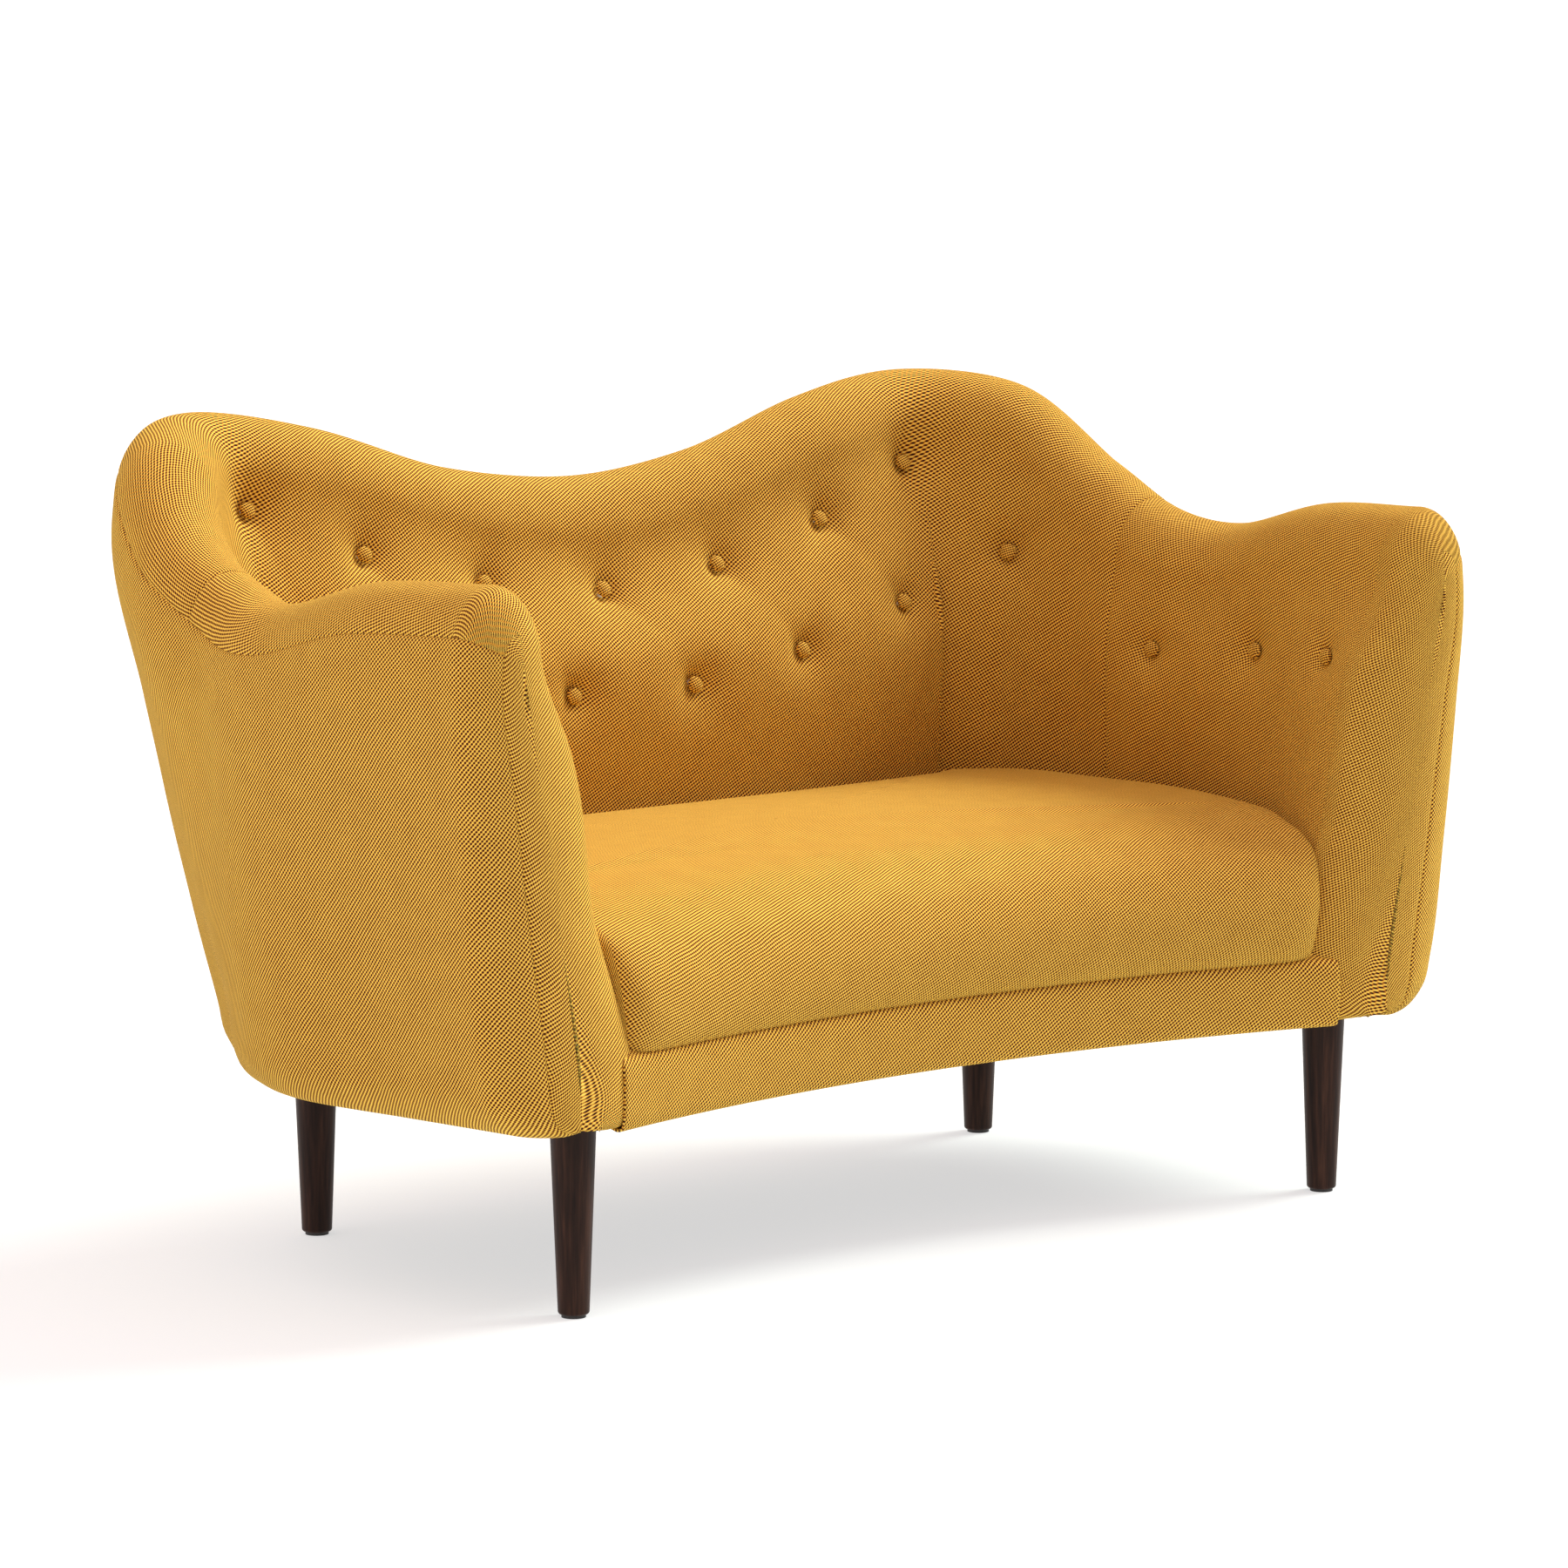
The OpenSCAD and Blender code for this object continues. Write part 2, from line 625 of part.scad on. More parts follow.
front_seat_rail();
rear_seat_rail();
side_seat_rail_left();
side_seat_rail_right();
centre_stretcher();
leg_blocks();
top_back_rail();
back_middle_rails();
back_post_left();
back_post_right();
corner_post_left();
corner_post_right();
arm_rear_post_left();
arm_rear_post_right();
arm_front_post_left();
arm_front_post_right();
arm_rail_left();
arm_rail_right();
frame_dowels();
seat_straps_long();
seat_straps_cross();
back_straps();
arm_straps();
seat_deck();
seat_foam();
back_pad();
arm_pad_left();
arm_pad_right();
seat_cover();
front_border();
inside_back_cover();
inside_arm_cover_left();
inside_arm_cover_right();
outside_back_cover();
outside_arm_cover_left();
outside_arm_cover_right();
bottom_cover();
buttons_upper_row();
buttons_lower_row();
buttons_arm_left();
buttons_arm_right();
tufting_twine();
twine_washers();
leg_front_left();
leg_front_right();
leg_rear_left();
leg_rear_right();
hanger_bolts();
tee_nuts();
leg_glides();
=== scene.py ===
"""Looks of the two-seat sofa: tufted upholstery, tight seat, turned walnut legs."""
import json
import math

import bmesh
import bpy
import numpy as np
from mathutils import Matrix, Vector
from mathutils.geometry import tessellate_polygon


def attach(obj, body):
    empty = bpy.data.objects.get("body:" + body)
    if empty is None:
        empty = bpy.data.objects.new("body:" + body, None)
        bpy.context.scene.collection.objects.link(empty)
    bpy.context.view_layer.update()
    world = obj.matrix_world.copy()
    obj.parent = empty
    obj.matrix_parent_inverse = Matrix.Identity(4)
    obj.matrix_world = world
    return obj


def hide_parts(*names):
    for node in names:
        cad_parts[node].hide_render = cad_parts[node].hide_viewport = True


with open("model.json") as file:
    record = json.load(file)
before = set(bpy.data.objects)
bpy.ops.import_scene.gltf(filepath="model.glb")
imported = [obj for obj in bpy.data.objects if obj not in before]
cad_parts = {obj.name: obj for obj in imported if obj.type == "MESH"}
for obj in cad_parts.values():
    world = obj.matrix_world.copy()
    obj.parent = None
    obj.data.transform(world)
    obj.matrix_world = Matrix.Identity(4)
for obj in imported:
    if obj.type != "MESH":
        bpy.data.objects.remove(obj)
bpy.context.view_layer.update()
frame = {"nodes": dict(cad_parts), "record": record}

MM = 0.001

# ---- design values of the shell, in millimetres, the same as the frame's ----
BODY_BOTTOM = 186
SEAT_TOP = 405
BORDER_TOP = 252
FABRIC = 2.5
NOSE = 46
NOSE_SQUARE = 1.85
FOOT_ROUND = 59
CREST_ROUND = 75
BUTTON_Z = 550
SEAT_Z = 400
SIDE_END_Z = 256
FACE_BOW = 7
FRONT_LIFT = 8
FRONT_MID_Y = -304
FRONT_HALF = 480
FRONT_HOLLOW = 66
COVER_SEAM = 5.75
TURN_UNDER = 26
OUTSIDE_SEAM = 3.9
FRONT_SEAM = 9.7
SEAM, CREST, AT_SEAT, AT_FOOT = 7, 10, 16, 17

CREST_KEYS = np.array([
    [0, 326, 741], [165, 326, 761], [330, 332, 810], [480, 333, 833], [580, 243, 815],
    [615, 146, 740], [622, 46, 692], [636, -54, 679], [629, -194, 712], [614, -344, 720],
], float)
SECTION_KEYS = np.array([
    [-110, -67, 37, -58, -125, -122, -122], [-110, -67, 37, -58, -125, -122, -122],
    [-110, -71, 38, -58, -126, -120, -120], [-107, -65, 54, -58, -120, -112, -114],
    [-110, -53, 50, -60, -92, -98, -104], [-69, -38, 55, -60, -72, -76, -88],
    [-32, 10, 52, -60, -72, -72, -82], [-24, 22, 55, -60, -72, -72, -80],
    [-39, 8, 58, -56, -69, -82, -104], [-48, 17, 52, -54, -97, -123, -160],
], float)
ARM_END = len(CREST_KEYS) - 1

# Buttons as [place along the crest, height, how far the surface leans back].
UPPER_ROW = [(0, 629, 24), (0.95, 646, 24), (1.85, 685, 24), (2.75, 738, 26)]
LOWER_ROW = [(0.5, 524, 15), (1.4, 550, 18), (2.35, 590, 20), (4, 638, 12)]
ARM_ROW = [(6.25, 542, 4), (7.65, 553, 4), (8.6, 561, 6)]
BUTTON_D = 18

# ---- values of the looks only, in millimetres ----
# How far a button's base lies below the undimpled cloth.
BUTTON_SINK = 11
# Each dimple is a narrow hollow within a wide one: [depth, radius].
DIMPLE = ((8.0, 14), (10.0, 34))
DIMPLE_REACH = 90
# The arms are stuffed more tightly than the back, so their dimples are shallower.
ARM_DIMPLE = 0.85
SLACK_DEPTH = 1.8

# Levels of the seat: [height below the crown, inset, how far the front bulges].
SEAT_LEVELS = [(150.5, 0, -9), (150, 0, -3), (146.5, 0, 2.5), (138, 0, 6.5), (122, 0, 9),
               (102, 0, 9), (85, 0, 6), (48, 2, -14),
               (24, 6, -50), (9, 16, -100), (1, 45, -170)]


# ---- curves of the shell ----
def keys_around(keys, t, mirror):
    """The four keys that a place t is blended from, and how far along it is."""
    i = min(int(math.floor(t)), ARM_END - 1)
    around = []
    for k in range(i - 1, i + 3):
        if k < 0:
            around.append(keys[-k] * mirror)
        elif k > ARM_END:
            around.append(2 * keys[ARM_END] - keys[ARM_END - 1] if mirror[0] < 0 else keys[ARM_END])
        else:
            around.append(keys[k])
    return around, t - i


def blend(keys, t, mirror):
    (a, b, c, d), u = keys_around(keys, t, mirror)
    return 0.5 * (2 * b + (c - a) * u + (2 * a - 5 * b + 4 * c - d) * u * u
                  + (3 * b - a - 3 * c + d) * u ** 3)


def slope(keys, t, mirror):
    (a, b, c, d), u = keys_around(keys, t, mirror)
    return 0.5 * ((c - a) + 2 * (2 * a - 5 * b + 4 * c - d) * u + 3 * (3 * b - a - 3 * c + d) * u * u)


FLIP = np.array([-1.0, 1.0, 1.0])
KEEP = np.ones(7)


def closing(t):
    """How far the arm's front has closed in: 1 on the arm, 0 at its foremost line."""
    if t <= ARM_END:
        return 1.0
    reach = min(1, math.sin(math.pi / 2 * (t - ARM_END)))
    return (1 - reach ** NOSE_SQUARE) ** (1 / NOSE_SQUARE)


def crest(t):
    """Crest point and the direction along it, for t >= 0."""
    s = min(t, ARM_END)
    point = blend(CREST_KEYS, s, FLIP)
    v = slope(CREST_KEYS, s, FLIP)[:2]
    v = v / np.linalg.norm(v)
    if t > ARM_END:
        point[:2] += v * NOSE * math.sin(math.pi / 2 * (t - ARM_END))
    return point, v


def on_shell(t, out, z):
    """Points of the shell at t, some way out of the crest and at given heights."""
    point, v = crest(abs(t))
    x = point[0] - v[1] * out
    y = point[1] + v[0] * out
    return np.stack([x if t >= 0 else -x, y, z * np.ones_like(x)], -1)


def raw_section(t):
    """The shell's section at t >= 0 as [out, height], underside to crest to inside."""
    s = blend(SECTION_KEYS, min(t, ARM_END), KEEP)
    shoulder = crest(t)[0][2] - CREST_ROUND
    side = BODY_BOTTOM + FOOT_ROUND
    rows = []
    for a in np.radians([0, 30, 60, 90]):
        rows.append((s[0] + (s[1] - s[0]) * math.sin(a), BODY_BOTTOM + FOOT_ROUND * (1 - math.cos(a))))
    for u in (0.33, 0.67):
        rows.append((s[1] + (s[2] - s[1]) * u + FACE_BOW * math.sin(math.pi * u),
                     side + (shoulder - side) * u))
    for a in np.radians(np.arange(0, 181, 22.5)):
        half = s[2] if a < math.pi / 2 else -s[3]
        rows.append((half * math.cos(a), shoulder + CREST_ROUND * math.sin(a)))
    at_front = min(1, max(0, (t - ARM_END + 0.1) / 0.3))
    end_z = SIDE_END_Z + (BODY_BOTTOM - SIDE_END_Z) * at_front
    rows += [(s[4], BUTTON_Z), (s[5], SEAT_Z), (s[6], end_z)]
    return np.array(rows), s, shoulder, side


def section(t):
    """The section drawn in towards the arm's middle line where the front closes."""
    p, s, shoulder, side = raw_section(t)
    w = closing(t)
    m = (s[1] + s[6]) / 2 * (1 - np.clip((p[:, 1] - side) / (shoulder - side), 0, 1))
    low = np.clip(1 - (p[:, 1] - BODY_BOTTOM) / FOOT_ROUND, 0, 1)
    out = m + (p[:, 0] - m) * w
    z = np.where(p[:, 1] > shoulder, shoulder + (p[:, 1] - shoulder) * w,
                 p[:, 1] + FRONT_LIFT * (1 - w) * low)
    return np.stack([out, z], -1)


def turned_section(t):
    """The section with its two lower edges carried on: turned under, or down behind the seat."""
    p = section(t)
    w = closing(t)
    first = p[0] + [-TURN_UNDER * w, 0.8]
    last = p[-1] + ([TURN_UNDER * w, 0.8] if t >= ARM_END else [0, -4])
    return np.vstack([first, p, last])


def smooth_run(points, i0, i1, fractions):
    """Samples a smooth curve through the points from i0 to i1 at fractions of its length."""
    gaps = np.maximum(np.linalg.norm(np.diff(points, axis=0), axis=1), 1e-4)
    at = np.concatenate([[0], np.cumsum(gaps)])
    rise = np.diff(points, axis=0) / gaps[:, None]
    lean = np.vstack([rise[:1], (gaps[1:, None] * rise[:-1] + gaps[:-1, None] * rise[1:])
                      / (gaps[1:] + gaps[:-1])[:, None], rise[-1:]])
    where = at[i0] + (at[i1] - at[i0]) * np.asarray(fractions)
    k = np.clip(np.searchsorted(at, where, "right") - 1, 0, len(gaps) - 1)
    h = gaps[k][:, None]
    u = ((where - at[k]) / gaps[k])[:, None]
    return ((2 * u**3 - 3 * u**2 + 1) * points[k] + (u**3 - 2 * u**2 + u) * h * lean[k]
            + (3 * u**2 - 2 * u**3) * points[k + 1] + (u**3 - u**2) * h * lean[k + 1])


def spread(length, step, edge_steps=(0, 1.2, 2.6, 4.4, 7, 11)):
    """Fractions of a length at an even step, closer together near both ends."""
    ends = np.array([e for e in edge_steps if e < length / 3]) / length
    n = max(2, int(round((length * (1 - 2 * ends[-1])) / step)))
    middle = np.linspace(ends[-1], 1 - ends[-1], n + 1)
    return np.concatenate([ends[:-1], middle, 1 - ends[:-1][::-1]])


# ---- making meshes ----
def grid_normals(p):
    """Outward unit normals of a grid whose rows run along t and columns up the section."""
    n = np.cross(np.gradient(p, axis=1), np.gradient(p, axis=0))
    return n / np.maximum(np.linalg.norm(n, axis=-1, keepdims=True), 1e-9)


def lengths_along(p, axis, start):
    """Distance along one axis of a grid, measured from the start index."""
    steps = np.linalg.norm(np.diff(p, axis=axis), axis=-1)
    total = np.cumsum(steps, axis=axis)
    pad = [(0, 0), (0, 0)]
    pad[axis] = (1, 0)
    total = np.pad(total, pad)
    return total - np.take(total, [start], axis=axis)


def add_mesh(name, vertices, faces, uv=None, smooth=True):
    mesh = bpy.data.meshes.new(name)
    mesh.from_pydata(np.asarray(vertices, float) * MM, [], faces)
    mesh.polygons.foreach_set("use_smooth", np.full(len(faces), smooth))
    if uv is not None:
        layer = mesh.uv_layers.new(name="cloth")
        loops = np.zeros(len(mesh.loops), np.int32)
        mesh.loops.foreach_get("vertex_index", loops)
        layer.data.foreach_set("uv", (np.asarray(uv, float)[loops] * MM).astype(np.float32).ravel())
    mesh.update()
    piece = bpy.data.objects.new(name, mesh)
    bpy.context.scene.collection.objects.link(piece)
    return piece


def sheet_faces(rows, columns):
    """Faces of a closed layer: front grid, back grid and the rim round them."""
    front = np.arange(rows * columns).reshape(rows, columns)
    back = front + rows * columns
    faces = []
    a, b = front[:-1, :-1], front[:-1, 1:]
    c, d = front[1:, 1:], front[1:, :-1]
    faces += np.stack([a, b, c, d], -1).reshape(-1, 4).tolist()
    a, b = back[:-1, :-1], back[:-1, 1:]
    c, d = back[1:, 1:], back[1:, :-1]
    faces += np.stack([a, d, c, b], -1).reshape(-1, 4).tolist()
    rim = np.concatenate([front[0, :-1], front[:-1, -1], front[-1, :0:-1], front[:0:-1, 0]])
    under = rim + rows * columns
    faces += np.stack([rim, under, np.roll(under, -1), np.roll(rim, -1)], -1).tolist()
    return faces


def layer_piece(name, p, uv, d0, d1):
    """A closed layer of cloth or foam between two depths below the grid p."""
    n = grid_normals(p)
    vertices = np.concatenate([(p - n * d0).reshape(-1, 3), (p - n * d1).reshape(-1, 3)])
    uvs = np.concatenate([uv.reshape(-1, 2)] * 2)
    return add_mesh(name, vertices, sheet_faces(*p.shape[:2]), uvs)


def cloth_uv(p, zero_row, zero_column):
    """Lays the grid flat: distance along the crest and distance up the section."""
    return np.stack([lengths_along(p, 0, zero_row), lengths_along(p, 1, zero_column)], -1)


# ---- buttons and the dimples they pull ----
def on_both_sides(row):
    return row + [(-t, z, lean) for t, z, lean in row if t != 0]


def other_side(row):
    return [(-t, z, lean) for t, z, lean in row]


def button_frame(button):
    """Place and axes of a button on the inside surface; its +Z points out of the cloth."""
    t, z, lean = button
    run = smooth_run(section(abs(t)), CREST, AT_FOOT, np.linspace(0, 1, 200))[::-1]
    out = np.interp(z, run[:, 1], run[:, 0])
    place = on_shell(t, np.array(out), z)
    v = crest(abs(t))[1]
    side = -1 if t < 0 else 1
    facing = np.array([side * v[1], -v[0], 0])
    lean = math.radians(lean)
    axis = facing * math.cos(lean) + np.array([0, 0, math.sin(lean)])
    return place, axis


def dimple(p, buttons):
    """Depth that the buttons pull the cloth in, at every point of a grid."""
    pull = np.zeros(p.shape[:2])
    for button in buttons:
        place, axis = button_frame(button)
        to = p - place
        along = to @ axis
        r = np.linalg.norm(to - along[..., None] * axis, axis=-1)
        here = sum(depth * np.exp(-(r / radius) ** 2) for depth, radius in DIMPLE)
        pull = np.maximum(pull, np.where(np.abs(along) < DIMPLE_REACH, here, 0))
    return pull


def fold(p, ends, depth=2.0, width=8.0):
    """A soft fold between two buttons, deepest near each of them."""
    (a, _), (b, _) = (button_frame(e) for e in ends)
    v = b - a
    u = np.clip(((p - a) @ v) / (v @ v), 0, 1)
    gap = np.linalg.norm(p - a - u[..., None] * v, axis=-1)
    return depth * (0.35 + 0.65 * np.abs(2 * u - 1) ** 1.5) * np.exp(-(gap / width) ** 2)


def tufting_folds(p):
    """The diagonal folds that join each button to its neighbours in the other row."""
    total = np.zeros(p.shape[:2])
    for side in (1, -1):
        upper = [(side * t, z, lean) for t, z, lean in UPPER_ROW]
        lower = [(side * t, z, lean) for t, z, lean in LOWER_ROW]
        for i in range(3):
            total = np.maximum(total, fold(p, (upper[i], lower[i])))
            total = np.maximum(total, fold(p, (lower[i], upper[i + 1])))
    return total


# ---- materials ----
def new_material(name):
    material = bpy.data.materials.new(name)
    material.use_nodes = True
    nodes = material.node_tree.nodes
    return material, nodes, material.node_tree.links, nodes["Principled BSDF"]


def math_node(nodes, links, kind, a, b=None, c=None):
    node = nodes.new("ShaderNodeMath")
    node.operation = kind
    for i, value in enumerate((a, b, c)):
        if value is None:
            continue
        if isinstance(value, (int, float)):
            node.inputs[i].default_value = value
        else:
            links.new(value, node.inputs[i])
    return node.outputs[0]


def noise_node(nodes, links, vector, scale, detail=2.0):
    node = nodes.new("ShaderNodeTexNoise")
    node.inputs["Scale"].default_value = scale
    node.inputs["Detail"].default_value = detail
    links.new(vector, node.inputs["Vector"])
    return node.outputs["Fac"]


def ramp_node(nodes, links, value, stops):
    node = nodes.new("ShaderNodeValToRGB")
    links.new(value, node.inputs["Fac"])
    elements = node.color_ramp.elements
    while len(elements) < len(stops):
        elements.new(0.5)
    for element, (place, colour) in zip(elements, stops):
        element.position = place
        element.color = (*colour, 1)
    return node.outputs["Color"]


def bump_node(nodes, links, shader, height, distance, strength=1.0):
    node = nodes.new("ShaderNodeBump")
    node.inputs["Distance"].default_value = distance
    node.inputs["Strength"].default_value = strength
    links.new(height, node.inputs["Height"])
    links.new(node.outputs["Normal"], shader.inputs["Normal"])


RIB_PITCH = 3.0 * MM
NUB_PITCH = 3.1 * MM
# Shares of the ribs, the nubs and their crossings in the height of the weave.
RIB_DEPTH = 0.46
NUB_DEPTH = 0.30
CROSS_DEPTH = -0.10
WEAVE_MIDDLE = 0.53
# How far the threads wander, and how much the yarn and the dye lot vary in shade.
WANDER = 3.5 * MM
YARN_SHADE = 0.22
BLOTCH_SHADE = 0.13
# The cloth from its dark gaps to its brightest yarn.
WEAVE_STOPS = [(0.0, (0.024, 0.005, 0.004)), (0.25, (0.155, 0.037, 0.010)),
               (0.5, (0.52, 0.208, 0.025)), (0.75, (0.96, 0.52, 0.058)), (1.0, (1.0, 0.72, 0.13))]


def weave(name, angle, rib_pitch=RIB_PITCH, nub_pitch=NUB_PITCH):
    """Mustard hopsack: bright diagonal ribs of nubs with rows of dark gaps between them."""
    material, nodes, links, shader = new_material(name)
    coords = nodes.new("ShaderNodeUVMap")
    coords.uv_map = "cloth"
    turn = nodes.new("ShaderNodeMapping")
    turn.inputs["Rotation"].default_value[2] = math.radians(-angle)
    links.new(coords.outputs["UV"], turn.inputs["Vector"])
    wander = nodes.new("ShaderNodeTexNoise")
    wander.inputs["Scale"].default_value = 24
    wander.inputs["Detail"].default_value = 2
    links.new(turn.outputs["Vector"], wander.inputs["Vector"])
    shift = nodes.new("ShaderNodeVectorMath")
    shift.operation = "MULTIPLY_ADD"
    shift.inputs[1].default_value = (WANDER, WANDER, 0)
    links.new(wander.outputs["Color"], shift.inputs[0])
    links.new(turn.outputs["Vector"], shift.inputs[2])
    split = nodes.new("ShaderNodeSeparateXYZ")
    links.new(shift.outputs["Vector"], split.inputs[0])

    def op(kind, a, b=None, c=None):
        return math_node(nodes, links, kind, a, b, c)

    rib = op("COSINE", op("MULTIPLY", split.outputs["Y"], 2 * math.pi / rib_pitch))
    nub = op("COSINE", op("MULTIPLY", split.outputs["X"], 2 * math.pi / nub_pitch))
    height = op("MULTIPLY_ADD", rib, RIB_DEPTH, WEAVE_MIDDLE)
    height = op("MULTIPLY_ADD", nub, NUB_DEPTH, height)
    height = op("MULTIPLY_ADD", op("MULTIPLY", rib, nub), CROSS_DEPTH, height)
    yarn = noise_node(nodes, links, turn.outputs["Vector"], 520, 2)
    blotch = noise_node(nodes, links, turn.outputs["Vector"], 30, 3)
    shade = op("MULTIPLY_ADD", op("SUBTRACT", yarn, 0.5), YARN_SHADE, height)
    shade = op("MULTIPLY_ADD", op("SUBTRACT", blotch, 0.5), BLOTCH_SHADE, shade)
    links.new(ramp_node(nodes, links, shade, WEAVE_STOPS), shader.inputs["Base Color"])
    shader.inputs["Roughness"].default_value = 0.9
    shader.inputs["Specular IOR Level"].default_value = 0.15
    shader.inputs["Sheen Weight"].default_value = 0.35
    shader.inputs["Sheen Roughness"].default_value = 0.35
    shader.inputs["Sheen Tint"].default_value = (1.0, 0.76, 0.14, 1)
    bump_node(nodes, links, shader, height, 0.001, 0.6)
    return material


def walnut():
    """Dark walnut with straight grain that runs up the leg."""
    material, nodes, links, shader = new_material("walnut")
    coords = nodes.new("ShaderNodeTexCoord")
    stretch = nodes.new("ShaderNodeMapping")
    stretch.inputs["Scale"].default_value = (1, 1, 0.06)
    links.new(coords.outputs["Object"], stretch.inputs["Vector"])
    grain = noise_node(nodes, links, stretch.outputs["Vector"], 260, 6)
    band = noise_node(nodes, links, stretch.outputs["Vector"], 60, 3)
    mixed = math_node(nodes, links, "ADD", math_node(nodes, links, "MULTIPLY", grain, 0.55),
                      math_node(nodes, links, "MULTIPLY", band, 0.45))
    colour = ramp_node(nodes, links, mixed, [
        (0.30, (0.008, 0.003, 0.002)), (0.50, (0.030, 0.012, 0.007)), (0.72, (0.078, 0.032, 0.018))])
    links.new(colour, shader.inputs["Base Color"])
    shader.inputs["Roughness"].default_value = 0.42
    shader.inputs["Specular IOR Level"].default_value = 0.15
    bump_node(nodes, links, shader, grain, 0.0003, 0.35)
    return material


def plain(name, dark, light, roughness, scale, bump=0.0002, metallic=0.0):
    """A hidden or minor material: two tones of noise and a fine bump."""
    material, nodes, links, shader = new_material(name)
    coords = nodes.new("ShaderNodeTexCoord")
    fine = noise_node(nodes, links, coords.outputs["Object"], scale, 4)
    links.new(ramp_node(nodes, links, fine, [(0.35, dark), (0.65, light)]), shader.inputs["Base Color"])
    shader.inputs["Roughness"].default_value = roughness
    shader.inputs["Metallic"].default_value = metallic
    bump_node(nodes, links, shader, fine, bump, 0.5)
    return material


CLOTH = {
    "outside": weave("weave_outside", -47, 3.3 * MM, 3.2 * MM),
    "inside_back": weave("weave_inside_back", -30, 3.3 * MM, 3.2 * MM),
    "inside_arm_left": weave("weave_inside_arm_left", -26),
    "inside_arm_right": weave("weave_inside_arm_right", -20, 3.5 * MM, 3.3 * MM),
    "seat": weave("weave_seat", 25),
    "border": weave("weave_border", 33, 3.3 * MM, 3.2 * MM),
    "button": weave("weave_button", 20, 2.9 * MM, 2.9 * MM),
}
FOAM = plain("foam", (0.62, 0.55, 0.38), (0.80, 0.74, 0.58), 0.95, 500)
DUST_CLOTH = plain("dust_cloth", (0.010, 0.009, 0.009), (0.028, 0.026, 0.025), 0.95, 1500)
THREAD = plain("thread", (0.16, 0.06, 0.003), (0.62, 0.32, 0.02), 0.8, 260)
WALNUT = walnut()


def finish_piece(piece, material, nodes):
    """Gives a piece its material and body, and hides the CAD nodes it stands for."""
    piece.data.materials.append(material)
    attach(piece, "root")
    if nodes:
        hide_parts(*nodes)
    return piece


# ---- shell covers and pads ----
STEP = 6.0
FRONT_STEP = 4.0
HALF_COLUMNS = 100
# Rough lengths of the stretches of the crest, which set how many points they get.
BACK_LENGTH = 640
CORNER_LENGTH = 215
ARM_LENGTH = 500
FRONT_LENGTH = 82
TIP_LENGTH = 50


def front_places():
    """Places round the rounded front of an arm, evenly spaced, closer at its seam and tip."""
    seam = math.asin(math.sin(math.pi / 2 * (FRONT_SEAM - ARM_END)) ** (NOSE_SQUARE / 2))
    first = seam * spread(FRONT_LENGTH, FRONT_STEP)
    second = seam + (math.pi / 2 - seam) * spread(TIP_LENGTH, FRONT_STEP)
    turn = np.concatenate([first, second[1:]])
    return ARM_END + np.arcsin(np.sin(turn) ** (2 / NOSE_SQUARE)) / (math.pi / 2)


def shell_places():
    """All places along the shell, from the tip of one arm to the tip of the other."""
    stops = [(0, OUTSIDE_SEAM, BACK_LENGTH), (OUTSIDE_SEAM, COVER_SEAM, CORNER_LENGTH),
             (COVER_SEAM, ARM_END, ARM_LENGTH)]
    half = np.concatenate([(a + (b - a) * spread(length, STEP))[:-1] for a, b, length in stops])
    half = np.concatenate([half, front_places()])
    return np.concatenate([-half[:0:-1], half])


def section_run(t):
    """A dense smooth section, with as many points outside the crest as inside it.

    Towards the tip of an arm the inside points move to the heights of the outside ones,
    so that both sides meet point for point."""
    p = turned_section(abs(t))
    low = smooth_run(p, 0, SEAM + 1, LOW_SIDE)
    roll = smooth_run(p, SEAM + 1, CREST + 1, ROLL_SIDE)
    outside = np.vstack([low, roll[1:]])
    fine = smooth_run(p, CREST + 1, len(p) - 1, np.linspace(0, 1, 600))
    even = np.linspace(0, 1, HALF_COLUMNS)
    near_end = np.clip((abs(t) - ARM_END) / 1.0, 0, 1)
    heights = np.minimum.accumulate(fine[:, 1])
    if near_end > 0:
        places = np.linspace(0, 1, 600)
        wanted = np.interp(-outside[::-1, 1], -heights - 1e-9 * places, places)
        mixed = near_end ** 3
        even = np.maximum.accumulate((1 - mixed) * even + mixed * wanted)
    index = even * 599
    i = np.clip(np.floor(index).astype(int), 0, 598)
    inside = fine[i] + (fine[i + 1] - fine[i]) * (index - i)[:, None]
    if near_end >= 1:
        inside = outside[::-1]
    return np.vstack([outside, inside[1:]])


ROLL_SIDE = np.concatenate([[0, 0.015, 0.035, 0.065], np.linspace(0.11, 1, 17)])
LOW_COUNT = HALF_COLUMNS - len(ROLL_SIDE) + 1
LOW_SIDE = np.concatenate([np.linspace(0, 0.975, LOW_COUNT - 4), [0.985, 0.992, 0.997, 1]])
SEAM_COLUMN = LOW_COUNT - 1
CREST_COLUMN = HALF_COLUMNS - 1


OUTSIDE_MIDDLE = SEAM_COLUMN // 2
INSIDE_MIDDLE = CREST_COLUMN + 45
# How many columns outside the crest the buttons' dimples may reach.
CREST_BLEND = 12
# Place on each arm from which its cloth is laid out.
ARM_LAID_FROM = 7.7
# How much of the cloth's unevenness round a corner is taken up by skewing its weave.
DRAPE = 0.25


def level_place(p, up, columns):
    """Distance up the section at which each row of the grid crosses the buttons' level."""
    heights, lengths = p[:, columns, 2], up[:, columns]
    if heights[0, 0] > heights[0, -1]:
        heights, lengths = heights[:, ::-1], lengths[:, ::-1]
    return np.array([[np.interp(BUTTON_Z, h, u)] for h, u in zip(heights, lengths)])


def shell_surface(ts):
    rows = [section_run(t) for t in ts]
    return np.array([on_shell(t, run[:, 0], run[:, 1]) for t, run in zip(ts, rows)])


